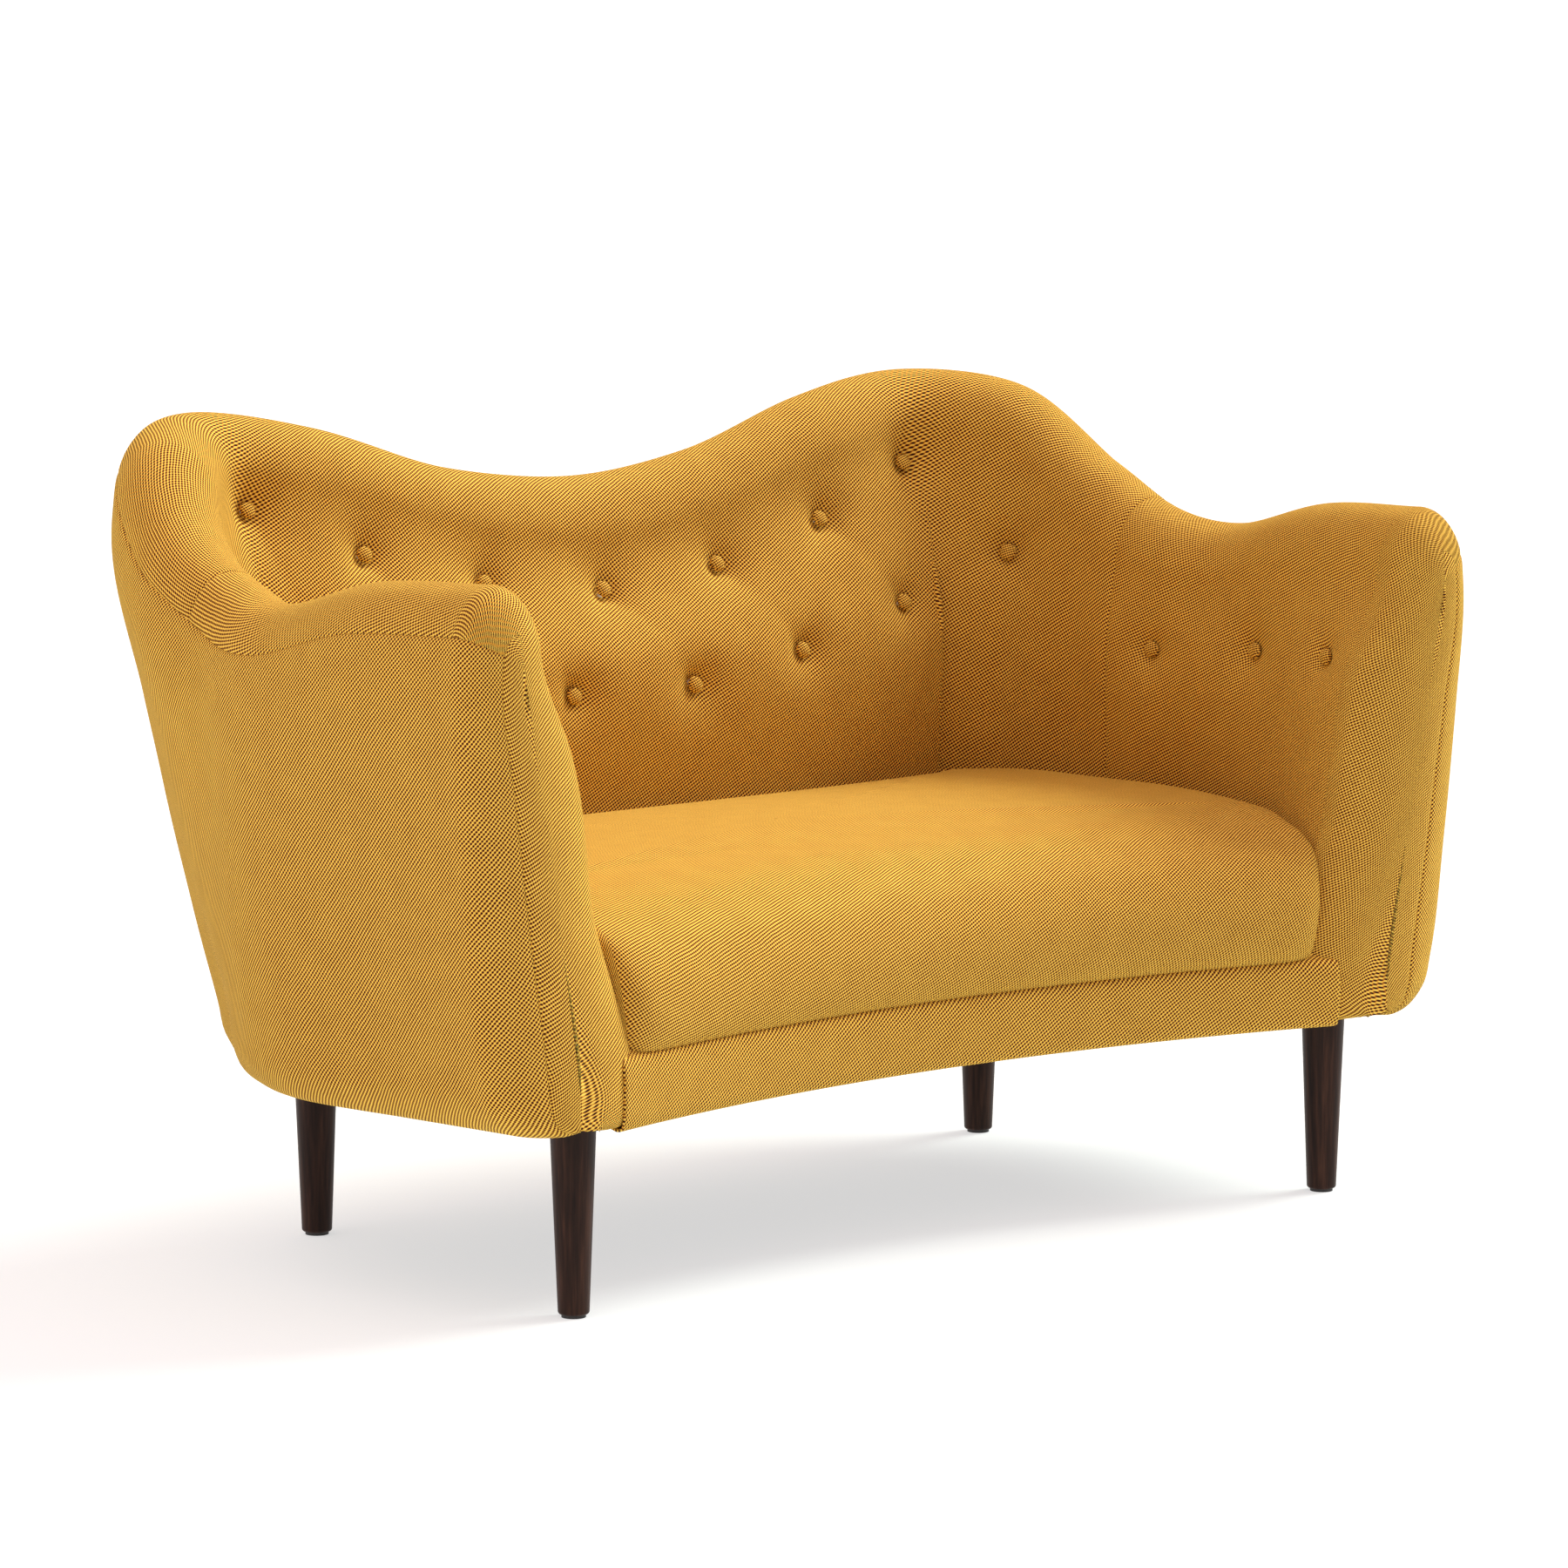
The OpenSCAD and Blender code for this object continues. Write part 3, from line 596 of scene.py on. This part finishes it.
def groove(gap, depth, width):
    return depth * np.exp(-(np.abs(gap) / width) ** 1.4)


def seam_grooves(p, ts):
    """Where panels meet, the cloth turns in along the seam."""
    up = lengths_along(p, 1, SEAM_COLUMN)
    total = groove(up, 1.5, 2.4) * (np.abs(ts) <= FRONT_SEAM)[:, None]
    for place, part, depth in ((OUTSIDE_SEAM, "low", 1.6), (FRONT_SEAM, "low", 1.7),
                               (COVER_SEAM, "high", 1.7)):
        for side in (1, -1):
            row = int(np.argmin(np.abs(ts - side * place)))
            along = lengths_along(p, 0, row)
            where = 1 / (1 + np.exp(up / 1.5)) if part == "low" else 1 / (1 + np.exp(-up / 1.5))
            total = np.maximum(total, groove(along, depth, 2.4) * where)
    return total


def panel(name, p, normals, mask, uv, material, nodes):
    """One closed cloth panel: the marked cells of the shell's grid, as thick as the cloth."""
    rows, columns = p.shape[:2]
    ids = np.arange(rows * columns).reshape(rows, columns)
    quads = np.stack([ids[:-1, :-1], ids[:-1, 1:], ids[1:, 1:], ids[1:, :-1]], -1)[mask]
    edges = np.concatenate([np.stack([quads[:, k], quads[:, (k + 1) % 4]], -1) for k in range(4)])
    keys = edges[:, 0] * (rows * columns) + edges[:, 1]
    backwards = edges[:, 1] * (rows * columns) + edges[:, 0]
    rim = edges[~np.isin(keys, backwards)]
    row_of = rim // columns
    on_tip = ((row_of == 0).all(1)) | ((row_of == rows - 1).all(1))
    rim = rim[~on_tip]
    total = rows * columns
    rims = np.stack([rim[:, 1], rim[:, 0], rim[:, 0] + total, rim[:, 1] + total], -1)
    faces = np.concatenate([quads, quads[:, ::-1] + total, rims])
    points = np.concatenate([p.reshape(-1, 3), (p - normals * FABRIC).reshape(-1, 3)])
    flat_uv = np.concatenate([uv.reshape(-1, 2)] * 2)
    used, compact = np.unique(faces, return_inverse=True)
    compact = compact.reshape(faces.shape)
    piece = add_mesh(name, points[used], compact.tolist(), flat_uv[used])
    weld(piece)
    return finish_piece(piece, material, nodes)


def weld(piece):
    """Joins the points that meet at an arm's tip and drops faces with no area."""
    work = bmesh.new()
    work.from_mesh(piece.data)
    bmesh.ops.remove_doubles(work, verts=work.verts, dist=0.00003)
    bmesh.ops.dissolve_degenerate(work, edges=work.edges, dist=0.00001)
    work.to_mesh(piece.data)
    work.free()


def shell_normals(p, ts):
    n = grid_normals(p)
    for row, side in ((0, -1), (len(ts) - 1, 1)):
        v = crest(ARM_END)[1]
        n[row] = [side * v[0], v[1], 0]
    return n


# Depths of the foam's two faces below the cloth's undimpled surface.
PAD_TOP = 19
PAD_UNDER = 30


def pad(name, ts, node):
    """The foam behind an inside cover, deeper than the bottoms of the dimples."""
    grids = []
    for depth in (PAD_TOP, PAD_UNDER):
        rows = []
        for t in ts:
            run = smooth_run(section(abs(t)), CREST, AT_SEAT, np.linspace(0, 1, 45))
            along = np.gradient(run, axis=0)
            along /= np.linalg.norm(along, axis=1, keepdims=True)
            run = run + depth * np.stack([-along[:, 1], along[:, 0]], -1)
            rows.append(on_shell(t, run[:, 0], run[:, 1]))
        grids.append(np.array(rows))
    points = np.concatenate([g.reshape(-1, 3) for g in grids])
    piece = add_mesh(name, points, sheet_faces(*grids[0].shape[:2]), points[:, :2])
    return finish_piece(piece, FOAM, [node])


def make_shell():
    ts = shell_places()
    p = shell_surface(ts)
    n = shell_normals(p, ts)
    back_buttons = on_both_sides(UPPER_ROW) + on_both_sides(LOWER_ROW)
    depth = seam_grooves(p, ts)
    inside = np.zeros(p.shape[:2])
    inside[:, CREST_COLUMN - CREST_BLEND:] = 1
    reach = np.abs(ts)[:, None]
    back_part = inside * (reach <= COVER_SEAM + 1)
    depth += np.where(back_part > 0, dimple(p, back_buttons) + tufting_folds(p), 0)
    arm_part = inside * (reach >= COVER_SEAM - 0.6) * (reach < ARM_END + 0.6)
    arm_buttons = on_both_sides(ARM_ROW)
    depth += np.where(arm_part > 0, ARM_DIMPLE * dimple(p, arm_buttons), 0)
    depth -= SLACK_DEPTH * slack(p)
    surface = p - n * depth[..., None]
    n = shell_normals(surface, ts)
    up = lengths_along(p, 1, CREST_COLUMN)
    up_outside = up - level_place(p, up, slice(0, CREST_COLUMN))
    up_inside = up - level_place(p, up, slice(CREST_COLUMN, p.shape[1]))
    row = {place: int(np.argmin(np.abs(ts - place))) for place in
           (0, -ARM_LAID_FROM, ARM_LAID_FROM)}
    middle = (ts[:-1] + ts[1:]) / 2
    low = np.arange(p.shape[1] - 1)[None, :] < SEAM_COLUMN
    at = middle[:, None]

    def laid(start, column, height):
        along = lengths_along(p, 0, start)
        return np.stack([DRAPE * along + (1 - DRAPE) * along[:, [column]], height], -1)

    sides = {0: 0, 1: ARM_LAID_FROM, -1: -ARM_LAID_FROM}
    outside_uv = {k: laid(row[v], OUTSIDE_MIDDLE, up_outside) for k, v in sides.items()}
    inside_uv = {k: laid(row[v], INSIDE_MIDDLE, up_inside) for k, v in sides.items()}
    panel("outside_back", surface, n, low & (np.abs(at) < OUTSIDE_SEAM), outside_uv[0],
          CLOTH["outside"], ["outside_back_cover"])
    panel("inside_back", surface, n, ~low & (np.abs(at) < COVER_SEAM), inside_uv[0],
          CLOTH["inside_back"], ["inside_back_cover"])
    for side, word in ((1, "left"), (-1, "right")):
        place = side * at
        outer = low & (place > OUTSIDE_SEAM) & (place < FRONT_SEAM)
        inner = (~low & (place > COVER_SEAM)) | (place > FRONT_SEAM)
        panel("outside_arm_" + word, surface, n, outer, outside_uv[side], CLOTH["outside"],
              ["outside_arm_cover_" + word])
        arm_uv = front_uv(p, inside_uv[side], up_outside, ts, side)
        panel("inside_arm_" + word, surface, n, inner, arm_uv, CLOTH["inside_arm_" + word],
              ["inside_arm_cover_" + word])
        pad_ts = side * np.linspace(COVER_SEAM + 0.01, ARM_END + 0.3, 60)
        pad("arm_foam_" + word, pad_ts if side > 0 else pad_ts[::-1], "arm_pad_" + word)
    pad("back_foam", np.linspace(-COVER_SEAM, COVER_SEAM, 160), "back_pad")


def front_uv(p, uv, up_outside, ts, side):
    """On the outer half of an arm's front the cloth runs on round the tip."""
    tip = len(ts) - 1 if side > 0 else 0
    along = uv[..., 0]
    mirrored = 2 * along[tip][None, :] - along
    opposite = np.arange(p.shape[1])[::-1]
    result = uv.copy()
    on_front = (side * ts > FRONT_SEAM - 1e-6)[:, None]
    outer = on_front & (np.arange(p.shape[1]) < CREST_COLUMN)[None, :]
    result[..., 0] = np.where(outer, mirrored + (along[tip][opposite] - along[tip]), along)
    result[..., 1] = np.where(outer, -up_outside, uv[..., 1])
    return result


def slack(p):
    """Slow unevenness of hand-stretched cloth over stuffing, between about -1 and 1."""
    x, y, z = p[..., 0] / 1000, p[..., 1] / 1000, p[..., 2] / 1000
    waves = (np.sin(17 * x + 9 * z + 1.3) * np.sin(14 * z - 11 * y + 0.4)
             + 0.6 * np.sin(29 * x - 23 * z + 2.1) * np.sin(21 * y + 18 * z))
    return 0.35 * waves


# ---- seat ----
FRONT_R = (FRONT_HALF ** 2 + FRONT_HOLLOW ** 2) / (2 * FRONT_HOLLOW)
SEAT_END = ARM_END + 0.28
SEAT_SIDE_COUNT = 260
SEAT_FRONT_COUNT = 150
# The middle of the seat's top, which crowns a little above its edge.
SEAT_MIDDLE_Y = -39
SEAT_CROWN = 7


def front_y(x):
    return FRONT_MID_Y - (FRONT_R - np.sqrt(FRONT_R ** 2 - x ** 2))


def inside_out(t, z):
    """How far out of the crest the inside surface lies at a height, for t >= 0."""
    s = blend(SECTION_KEYS, min(t, ARM_END), KEEP)
    m = (s[1] + s[6]) / 2
    if z > SEAT_Z:
        o = s[5] + (s[4] - s[5]) * (z - SEAT_Z) / (BUTTON_Z - SEAT_Z)
    else:
        o = s[6] + (s[5] - s[6]) * (z - BODY_BOTTOM) / (SEAT_Z - BODY_BOTTOM)
    return m + (o - m) * closing(t)


def seat_ring(z, inset, out):
    """One level of the seat, against the shell on three sides and hollow in front."""
    side = []
    for t in np.linspace(-SEAT_END, SEAT_END, SEAT_SIDE_COUNT):
        side.append(on_shell(t, np.array(inside_out(abs(t), z) - inset), z))
    side = np.array(side)
    side[:, 1] = np.maximum(side[:, 1], front_y(side[:, 0]) - out)
    x = np.linspace(side[-1, 0], side[0, 0], SEAT_FRONT_COUNT + 2)[1:-1]
    front = np.stack([x, front_y(x) - out, np.full_like(x, z)], -1)
    return np.vstack([side, front])


def soften_ring(ring, passes):
    """Rounds the corners of a closed ring a little."""
    for _ in range(passes):
        ring = 0.5 * ring + 0.25 * (np.roll(ring, 1, 0) + np.roll(ring, -1, 0))
    return ring


def seat_surface(d=0.0):
    """Rings of the seat from its lower edge to the middle of its top, drawn in by d."""
    levels = np.array(SEAT_LEVELS, float)
    fractions = spread(330, STEP)
    run = smooth_run(np.stack([levels[:, 2], -levels[:, 0]], -1), 0, len(levels) - 1, fractions)
    inset = np.interp(-run[:, 1][::-1], levels[:, 0][::-1], levels[:, 1][::-1])[::-1]
    rings = []
    for (out, drop), i in zip(run, inset):
        ring = seat_ring(SEAT_TOP + drop - d, i + 3 + d, out - d)
        rings.append(soften_ring(ring, 30))
    rings = np.array(rings)
    edge = rings[-1]
    centre = np.array([0, SEAT_MIDDLE_Y, 0])
    top = []
    for f in np.linspace(1, 0.02, 55)[1:]:
        ring = centre + (edge - centre) * [f, f, 1]
        ring[:, 2] = edge[:, 2] + SEAT_CROWN * (1 - f ** 2)
        top.append(ring)
    return np.vstack([rings, np.array(top)])


def seat_uv(p):
    """Top laid flat, with the front and sides folded out from it by their length."""
    flat = p[..., :2].copy()
    start = np.argmax(p[:, 0, 2] > SEAT_TOP - 24)
    down = -lengths_along(p[: start + 1], 0, start)
    edge = flat[start]
    out = np.gradient(edge, axis=0)
    out = np.stack([out[:, 1], -out[:, 0]], -1)
    out /= np.maximum(np.linalg.norm(out, axis=1, keepdims=True), 1e-6)
    out *= np.sign((out * (edge - edge.mean(0))).sum(1, keepdims=True))
    front = np.arange(len(edge)) >= SEAT_SIDE_COUNT
    out[front] = [0, -1]
    flat[: start + 1] = edge + out * down[..., None]
    return flat


def dome_faces(rows, count, flip=False):
    """Faces of rings that are each closed, row after row."""
    ids = np.arange(rows * count).reshape(rows, count)
    nxt = np.roll(ids, -1, axis=1)
    quads = np.stack([ids[:-1], nxt[:-1], nxt[1:], ids[1:]], -1).reshape(-1, 4)
    return (quads[:, ::-1] if flip else quads).tolist()


def closed_dome(name, outer, inner, uv):
    """A shell of two domes, joined round their open edge and capped at the middle."""
    rows, count = outer.shape[:2]
    vertices = np.concatenate([outer.reshape(-1, 3), inner.reshape(-1, 3)])
    base = rows * count
    faces = dome_faces(rows, count, flip=True)
    faces += [[base + i for i in f] for f in dome_faces(rows, count)]
    rim = np.arange(count)
    nxt = np.roll(rim, -1)
    faces += np.stack([rim, nxt, nxt + base, rim + base], -1).tolist()
    last = (rows - 1) * count
    faces.append(list(range(last, last + count))[::-1])
    faces.append(list(range(base + last, base + last + count)))
    return add_mesh(name, vertices, faces, np.concatenate([uv.reshape(-1, 2)] * 2))


def make_seat():
    p = seat_surface()
    piece = closed_dome("seat", p, seat_surface(FABRIC), seat_uv(p))
    finish_piece(piece, CLOTH["seat"], ["seat_cover"])
    outer = seat_surface(FABRIC + 0.5)
    outer[..., 2] = np.maximum(outer[..., 2], outer[..., 2].min() + 9)
    rows, count = outer.shape[:2]
    faces = dome_faces(rows, count, flip=True)
    last = (rows - 1) * count
    faces.append(list(range(last, last + count))[::-1])
    faces.append(list(range(count)))
    foam = add_mesh("seat_foam_block", outer.reshape(-1, 3), faces, outer[..., :2].reshape(-1, 2))
    finish_piece(foam, FOAM, ["seat_foam"])


# ---- front border ----
BORDER_HALF = 478
# Profile of the border: [behind the front line, height], from below to above.
BORDER_PROFILE = np.array([
    [16, 187.5], [5, 186.2], [1.2, 187.6], [-0.6, 192], [-2.2, 205], [-2.8, 222],
    [-2.2, 238], [-0.4, 248], [1.8, 252.3], [5.5, 254.4], [9.5, 257.5], [14, 262]])


def make_border():
    """The strip under the seat: stuffed a little, turned in at the top and bottom."""
    x = np.linspace(-BORDER_HALF, BORDER_HALF, 220)
    run = smooth_run(BORDER_PROFILE, 0, len(BORDER_PROFILE) - 1, spread(110, 3.0, (0,)))
    p = np.zeros((len(x), len(run), 3))
    p[..., 0] = x[:, None]
    p[..., 1] = front_y(x)[:, None] + run[:, 0]
    p[..., 2] = run[:, 1]
    uv = cloth_uv(p, 0, 0)
    piece = layer_piece("border", p, uv, 0, FABRIC)
    finish_piece(piece, CLOTH["border"], ["front_border"])


DUST_INSET = 9


def make_dust_cloth():
    """Black cloth stapled under the frame, cut round the legs' tops."""
    def foot(t):
        w = closing(abs(t))
        s = section(abs(t))[0] + [-DUST_INSET * w, 1.5 + 5 * (1 - w)]
        return on_shell(t, np.array(s[0]), s[1])

    def inner_foot(t):
        w = closing(abs(t))
        s = section(abs(t))[-1] + [DUST_INSET * w, 1.5 + 5 * (1 - w)]
        return on_shell(t, np.array(s[0]), s[1])

    around = [foot(t) for t in np.linspace(-ARM_END - 0.9, ARM_END + 0.9, 160)]
    right_tip = [inner_foot(t) for t in np.linspace(ARM_END + 0.88, ARM_END + 0.4, 8)]
    front = [np.array([x, front_y(x) + DUST_INSET, BODY_BOTTOM + 2.5])
             for x in np.linspace(444, -444, 60)]
    left_tip = [inner_foot(t) for t in np.linspace(-ARM_END - 0.4, -ARM_END - 0.88, 8)]
    outline = np.array(around + right_tip + front + left_tip)
    triangles = tessellate_polygon([[Vector(v) for v in outline]])
    count = len(outline)
    faces = []
    for a, b, c in triangles:
        u, v = outline[b] - outline[a], outline[c] - outline[a]
        if u[0] * v[1] - u[1] * v[0] > 0:
            a, c = c, a
        faces += [(a, b, c), (c + count, b + count, a + count)]
    ring = np.arange(count)
    nxt = np.roll(ring, -1)
    faces += np.stack([ring, nxt, nxt + count, ring + count], -1).tolist()
    points = np.vstack([outline, outline + [0, 0, 1]])
    piece = add_mesh("dust_cover", points, faces, points[:, :2], smooth=False)
    finish_piece(piece, DUST_CLOTH, ["bottom_cover"])


# ---- stitches ----
def capsule(length, radius, sides=6, rings=5):
    """A thread bump: an elongated bead along X."""
    u = np.linspace(-1, 1, rings)
    r = radius * np.sqrt(np.maximum(0, 1 - (np.abs(u) * 0.985) ** 2.5))
    a = np.linspace(0, 2 * math.pi, sides, endpoint=False)
    v = np.stack([np.repeat(u * length / 2, sides), np.outer(r, np.cos(a)).ravel(),
                  np.outer(r, np.sin(a)).ravel()], -1)
    faces = dome_faces(rings, sides)
    faces.append(list(range(sides))[::-1])
    faces.append(list(range((rings - 1) * sides, rings * sides)))
    return v, faces


STITCH_PITCH = 6.5
STITCH_LENGTH = 4.2
STITCH_RADIUS = 0.75
STITCH_HALF = 470


def make_stitches():
    """Small blind stitches that draw the seat down to the border."""
    vertices = []
    faces = []
    total = 0
    bead, bead_faces = capsule(STITCH_LENGTH, STITCH_RADIUS)
    for i, x in enumerate(np.arange(-STITCH_HALF, STITCH_HALF + 1, STITCH_PITCH)):
        slant = 0.55 + 0.2 * math.sin(i * 2.4)
        y = front_y(x) + 1.5
        lean = -x / FRONT_R
        turn = np.array([[math.cos(lean), -math.sin(lean)], [math.sin(lean), math.cos(lean)]])
        v = bead.copy()
        v[:, 2] += v[:, 0] * slant
        v[:, :2] = v[:, :2] @ turn.T
        vertices.append(v + [x, y, BORDER_TOP + 1.6])
        faces += [[total + k for k in f] for f in bead_faces]
        total += len(v)
    piece = add_mesh("seam_stitches", np.vstack(vertices), faces)
    finish_piece(piece, THREAD, [])


# ---- buttons ----
# Profile of a button: [share of its radius, height above its base].
BUTTON_PROFILE = [(0.80, -0.6), (0.97, 0.0), (1.0, 0.9), (0.985, 1.9), (0.92, 3.1), (0.80, 4.2),
                  (0.62, 5.1), (0.40, 5.7), (0.18, 5.95), (0.02, 6.0)]


def button_mesh(button, index):
    """A button covered in cloth: a dome with a tucked edge and slight puckers."""
    place, axis = button_frame(button)
    z_axis = Vector(axis)
    x_axis = Vector((0, 0, 1)).cross(z_axis).normalized()
    y_axis = z_axis.cross(x_axis)
    basis = np.array([x_axis, y_axis, z_axis])
    count = 40
    angles = np.linspace(0, 2 * math.pi, count, endpoint=False)
    rows = []
    for r, h in BUTTON_PROFILE:
        pucker = 1 + 0.018 * np.cos(angles * 7 + index) * (r > 0.85)
        radius = BUTTON_D / 2 * r * pucker
        rows.append(np.stack([radius * np.cos(angles), radius * np.sin(angles),
                              np.full(count, float(h))], -1))
    local = np.array(rows)
    uv = local[..., :2] * 1.15 + [13.7 * index, 7.9 * index]
    p = (local + [0, 0, -BUTTON_SINK + 0.1]) @ basis + place
    faces = dome_faces(len(BUTTON_PROFILE), count)
    faces.append(list(range((len(BUTTON_PROFILE) - 1) * count, len(BUTTON_PROFILE) * count)))
    faces.append(list(range(count))[::-1])
    return p.reshape(-1, 3), faces, uv.reshape(-1, 2)


def make_buttons():
    groups = {"buttons_upper": (on_both_sides(UPPER_ROW), "buttons_upper_row"),
              "buttons_lower": (on_both_sides(LOWER_ROW), "buttons_lower_row"),
              "buttons_on_left_arm": (ARM_ROW, "buttons_arm_left"),
              "buttons_on_right_arm": (other_side(ARM_ROW), "buttons_arm_right")}
    for name, (row, node) in groups.items():
        vertices = []
        faces = []
        uvs = []
        total = 0
        for i, button in enumerate(row):
            v, f, uv = button_mesh(button, i)
            vertices.append(v)
            uvs.append(uv)
            faces += [[total + k for k in face] for face in f]
            total += len(v)
        piece = add_mesh(name, np.vstack(vertices), faces, np.vstack(uvs))
        finish_piece(piece, CLOTH["button"], [node])


# ---- carried-over CAD pieces ----
def dress_frame():
    beech = plain("beech", (0.50, 0.31, 0.15), (0.68, 0.47, 0.27), 0.6, 90)
    webbing = plain("webbing", (0.03, 0.027, 0.024), (0.08, 0.07, 0.06), 0.85, 600)
    jute = plain("jute", (0.36, 0.26, 0.14), (0.52, 0.42, 0.27), 0.9, 700)
    steel = plain("zinc_steel", (0.45, 0.45, 0.46), (0.62, 0.62, 0.63), 0.35, 200, metallic=1.0)
    twine = plain("twine", (0.58, 0.52, 0.40), (0.76, 0.70, 0.56), 0.8, 900)
    nylon = plain("glide_nylon", (0.018, 0.016, 0.015), (0.035, 0.032, 0.030), 0.5, 300)
    by_slot = {"walnut": WALNUT, "beech": beech, "dowel_beech": beech, "webbing": webbing,
               "deck_cloth": jute, "washer_steel": steel, "zinc_steel": steel, "twine": twine,
               "glide": nylon, "foam": FOAM, "black_cloth": DUST_CLOTH,
               "upholstery": CLOTH["outside"], "button_fabric": CLOTH["button"]}
    for part in frame["record"]["subparts"]:
        node = frame["nodes"][part["node"]]
        node.data.materials.clear()
        node.data.materials.append(by_slot[part["material_slot"]])


# ---- stage ----
CAMERA_PLACE = Vector((-4.6036, -5.5551, 1.4079))
CAMERA_PITCH = 7.62
CAMERA_TURN = -39.85
CAMERA_LENS = 161.0


def make_camera():
    data = bpy.data.cameras.new("camera")
    data.lens = CAMERA_LENS
    data.sensor_width = 36
    camera = bpy.data.objects.new("camera", data)
    bpy.context.scene.collection.objects.link(camera)
    camera.location = CAMERA_PLACE
    camera.rotation_euler = (math.radians(90 - CAMERA_PITCH), 0, math.radians(CAMERA_TURN))
    data.clip_end = 100
    bpy.context.scene.camera = camera


FLOOR_HALF = 160.0
FLOOR_COLOUR = (0.40, 0.44, 0.44, 1)
FLOOR_GLOW = 0.62


def make_floor():
    mesh = bpy.data.meshes.new("floor")
    corners = [(x * FLOOR_HALF, y * FLOOR_HALF, 0) for x, y in ((-1, -1), (1, -1), (1, 1), (-1, 1))]
    mesh.from_pydata(corners, [], [(0, 1, 2, 3)])
    floor = bpy.data.objects.new("floor", mesh)
    bpy.context.scene.collection.objects.link(floor)
    material, _, _, shader = new_material("pale_floor")
    shader.inputs["Base Color"].default_value = FLOOR_COLOUR
    shader.inputs["Roughness"].default_value = 0.9
    shader.inputs["Emission Color"].default_value = (1, 1, 1, 1)
    shader.inputs["Emission Strength"].default_value = FLOOR_GLOW
    floor.data.materials.append(material)


SKY_COLOUR = (1.0, 0.78, 0.78, 1)
SKY_TOP = 1.9
SKY_LOW = 0.0
KEY = 3.3
KEY_COLOUR = (0.97, 1.0, 0.93)
KEY_FROM = (0.95, -0.10, 0.9)
KEY_SPREAD = 30
FILL_PLACE = (-4.4, 0.7, 0.8)
FILL_AIM = (0, 0, 0.4)
FILL_SIZE = (2.0, 1.2)
FILL_POWER = 23
FILL_COLOUR = (1.0, 0.80, 0.78)


def area_light(name, place, aim, size, power, colour):
    data = bpy.data.lights.new(name, "AREA")
    data.shape = "RECTANGLE"
    data.size, data.size_y = size
    data.energy = power
    data.color = colour
    light = bpy.data.objects.new(name, data)
    bpy.context.scene.collection.objects.link(light)
    light.location = place
    light.rotation_euler = (Vector(aim) - Vector(place)).to_track_quat("-Z", "Y").to_euler()


def make_lights():
    world = bpy.data.worlds.new("studio")
    bpy.context.scene.world = world
    world.use_nodes = True
    nodes = world.node_tree.nodes
    links = world.node_tree.links
    coords = nodes.new("ShaderNodeTexCoord")
    split = nodes.new("ShaderNodeSeparateXYZ")
    links.new(coords.outputs["Generated"], split.inputs[0])
    height = math_node(nodes, links, "MAXIMUM", split.outputs["Z"], 0.0)
    overhead = math_node(nodes, links, "POWER", height, 2)
    strength = math_node(nodes, links, "MULTIPLY_ADD", overhead, SKY_TOP - SKY_LOW, SKY_LOW)
    background = nodes["Background"]
    background.inputs["Color"].default_value = SKY_COLOUR
    links.new(strength, background.inputs["Strength"])
    sun = bpy.data.lights.new("key", "SUN")
    sun.energy = KEY
    sun.color = KEY_COLOUR
    sun.angle = math.radians(KEY_SPREAD)
    light = bpy.data.objects.new("key", sun)
    bpy.context.scene.collection.objects.link(light)
    light.rotation_euler = Vector(KEY_FROM).to_track_quat("Z", "Y").to_euler()
    area_light("fill", FILL_PLACE, FILL_AIM, FILL_SIZE, FILL_POWER, FILL_COLOUR)


make_camera()
make_floor()
make_lights()
dress_frame()
make_shell()
make_seat()
make_border()
make_dust_cloth()
make_stitches()
make_buttons()
bpy.context.scene.view_settings.view_transform = "Standard"
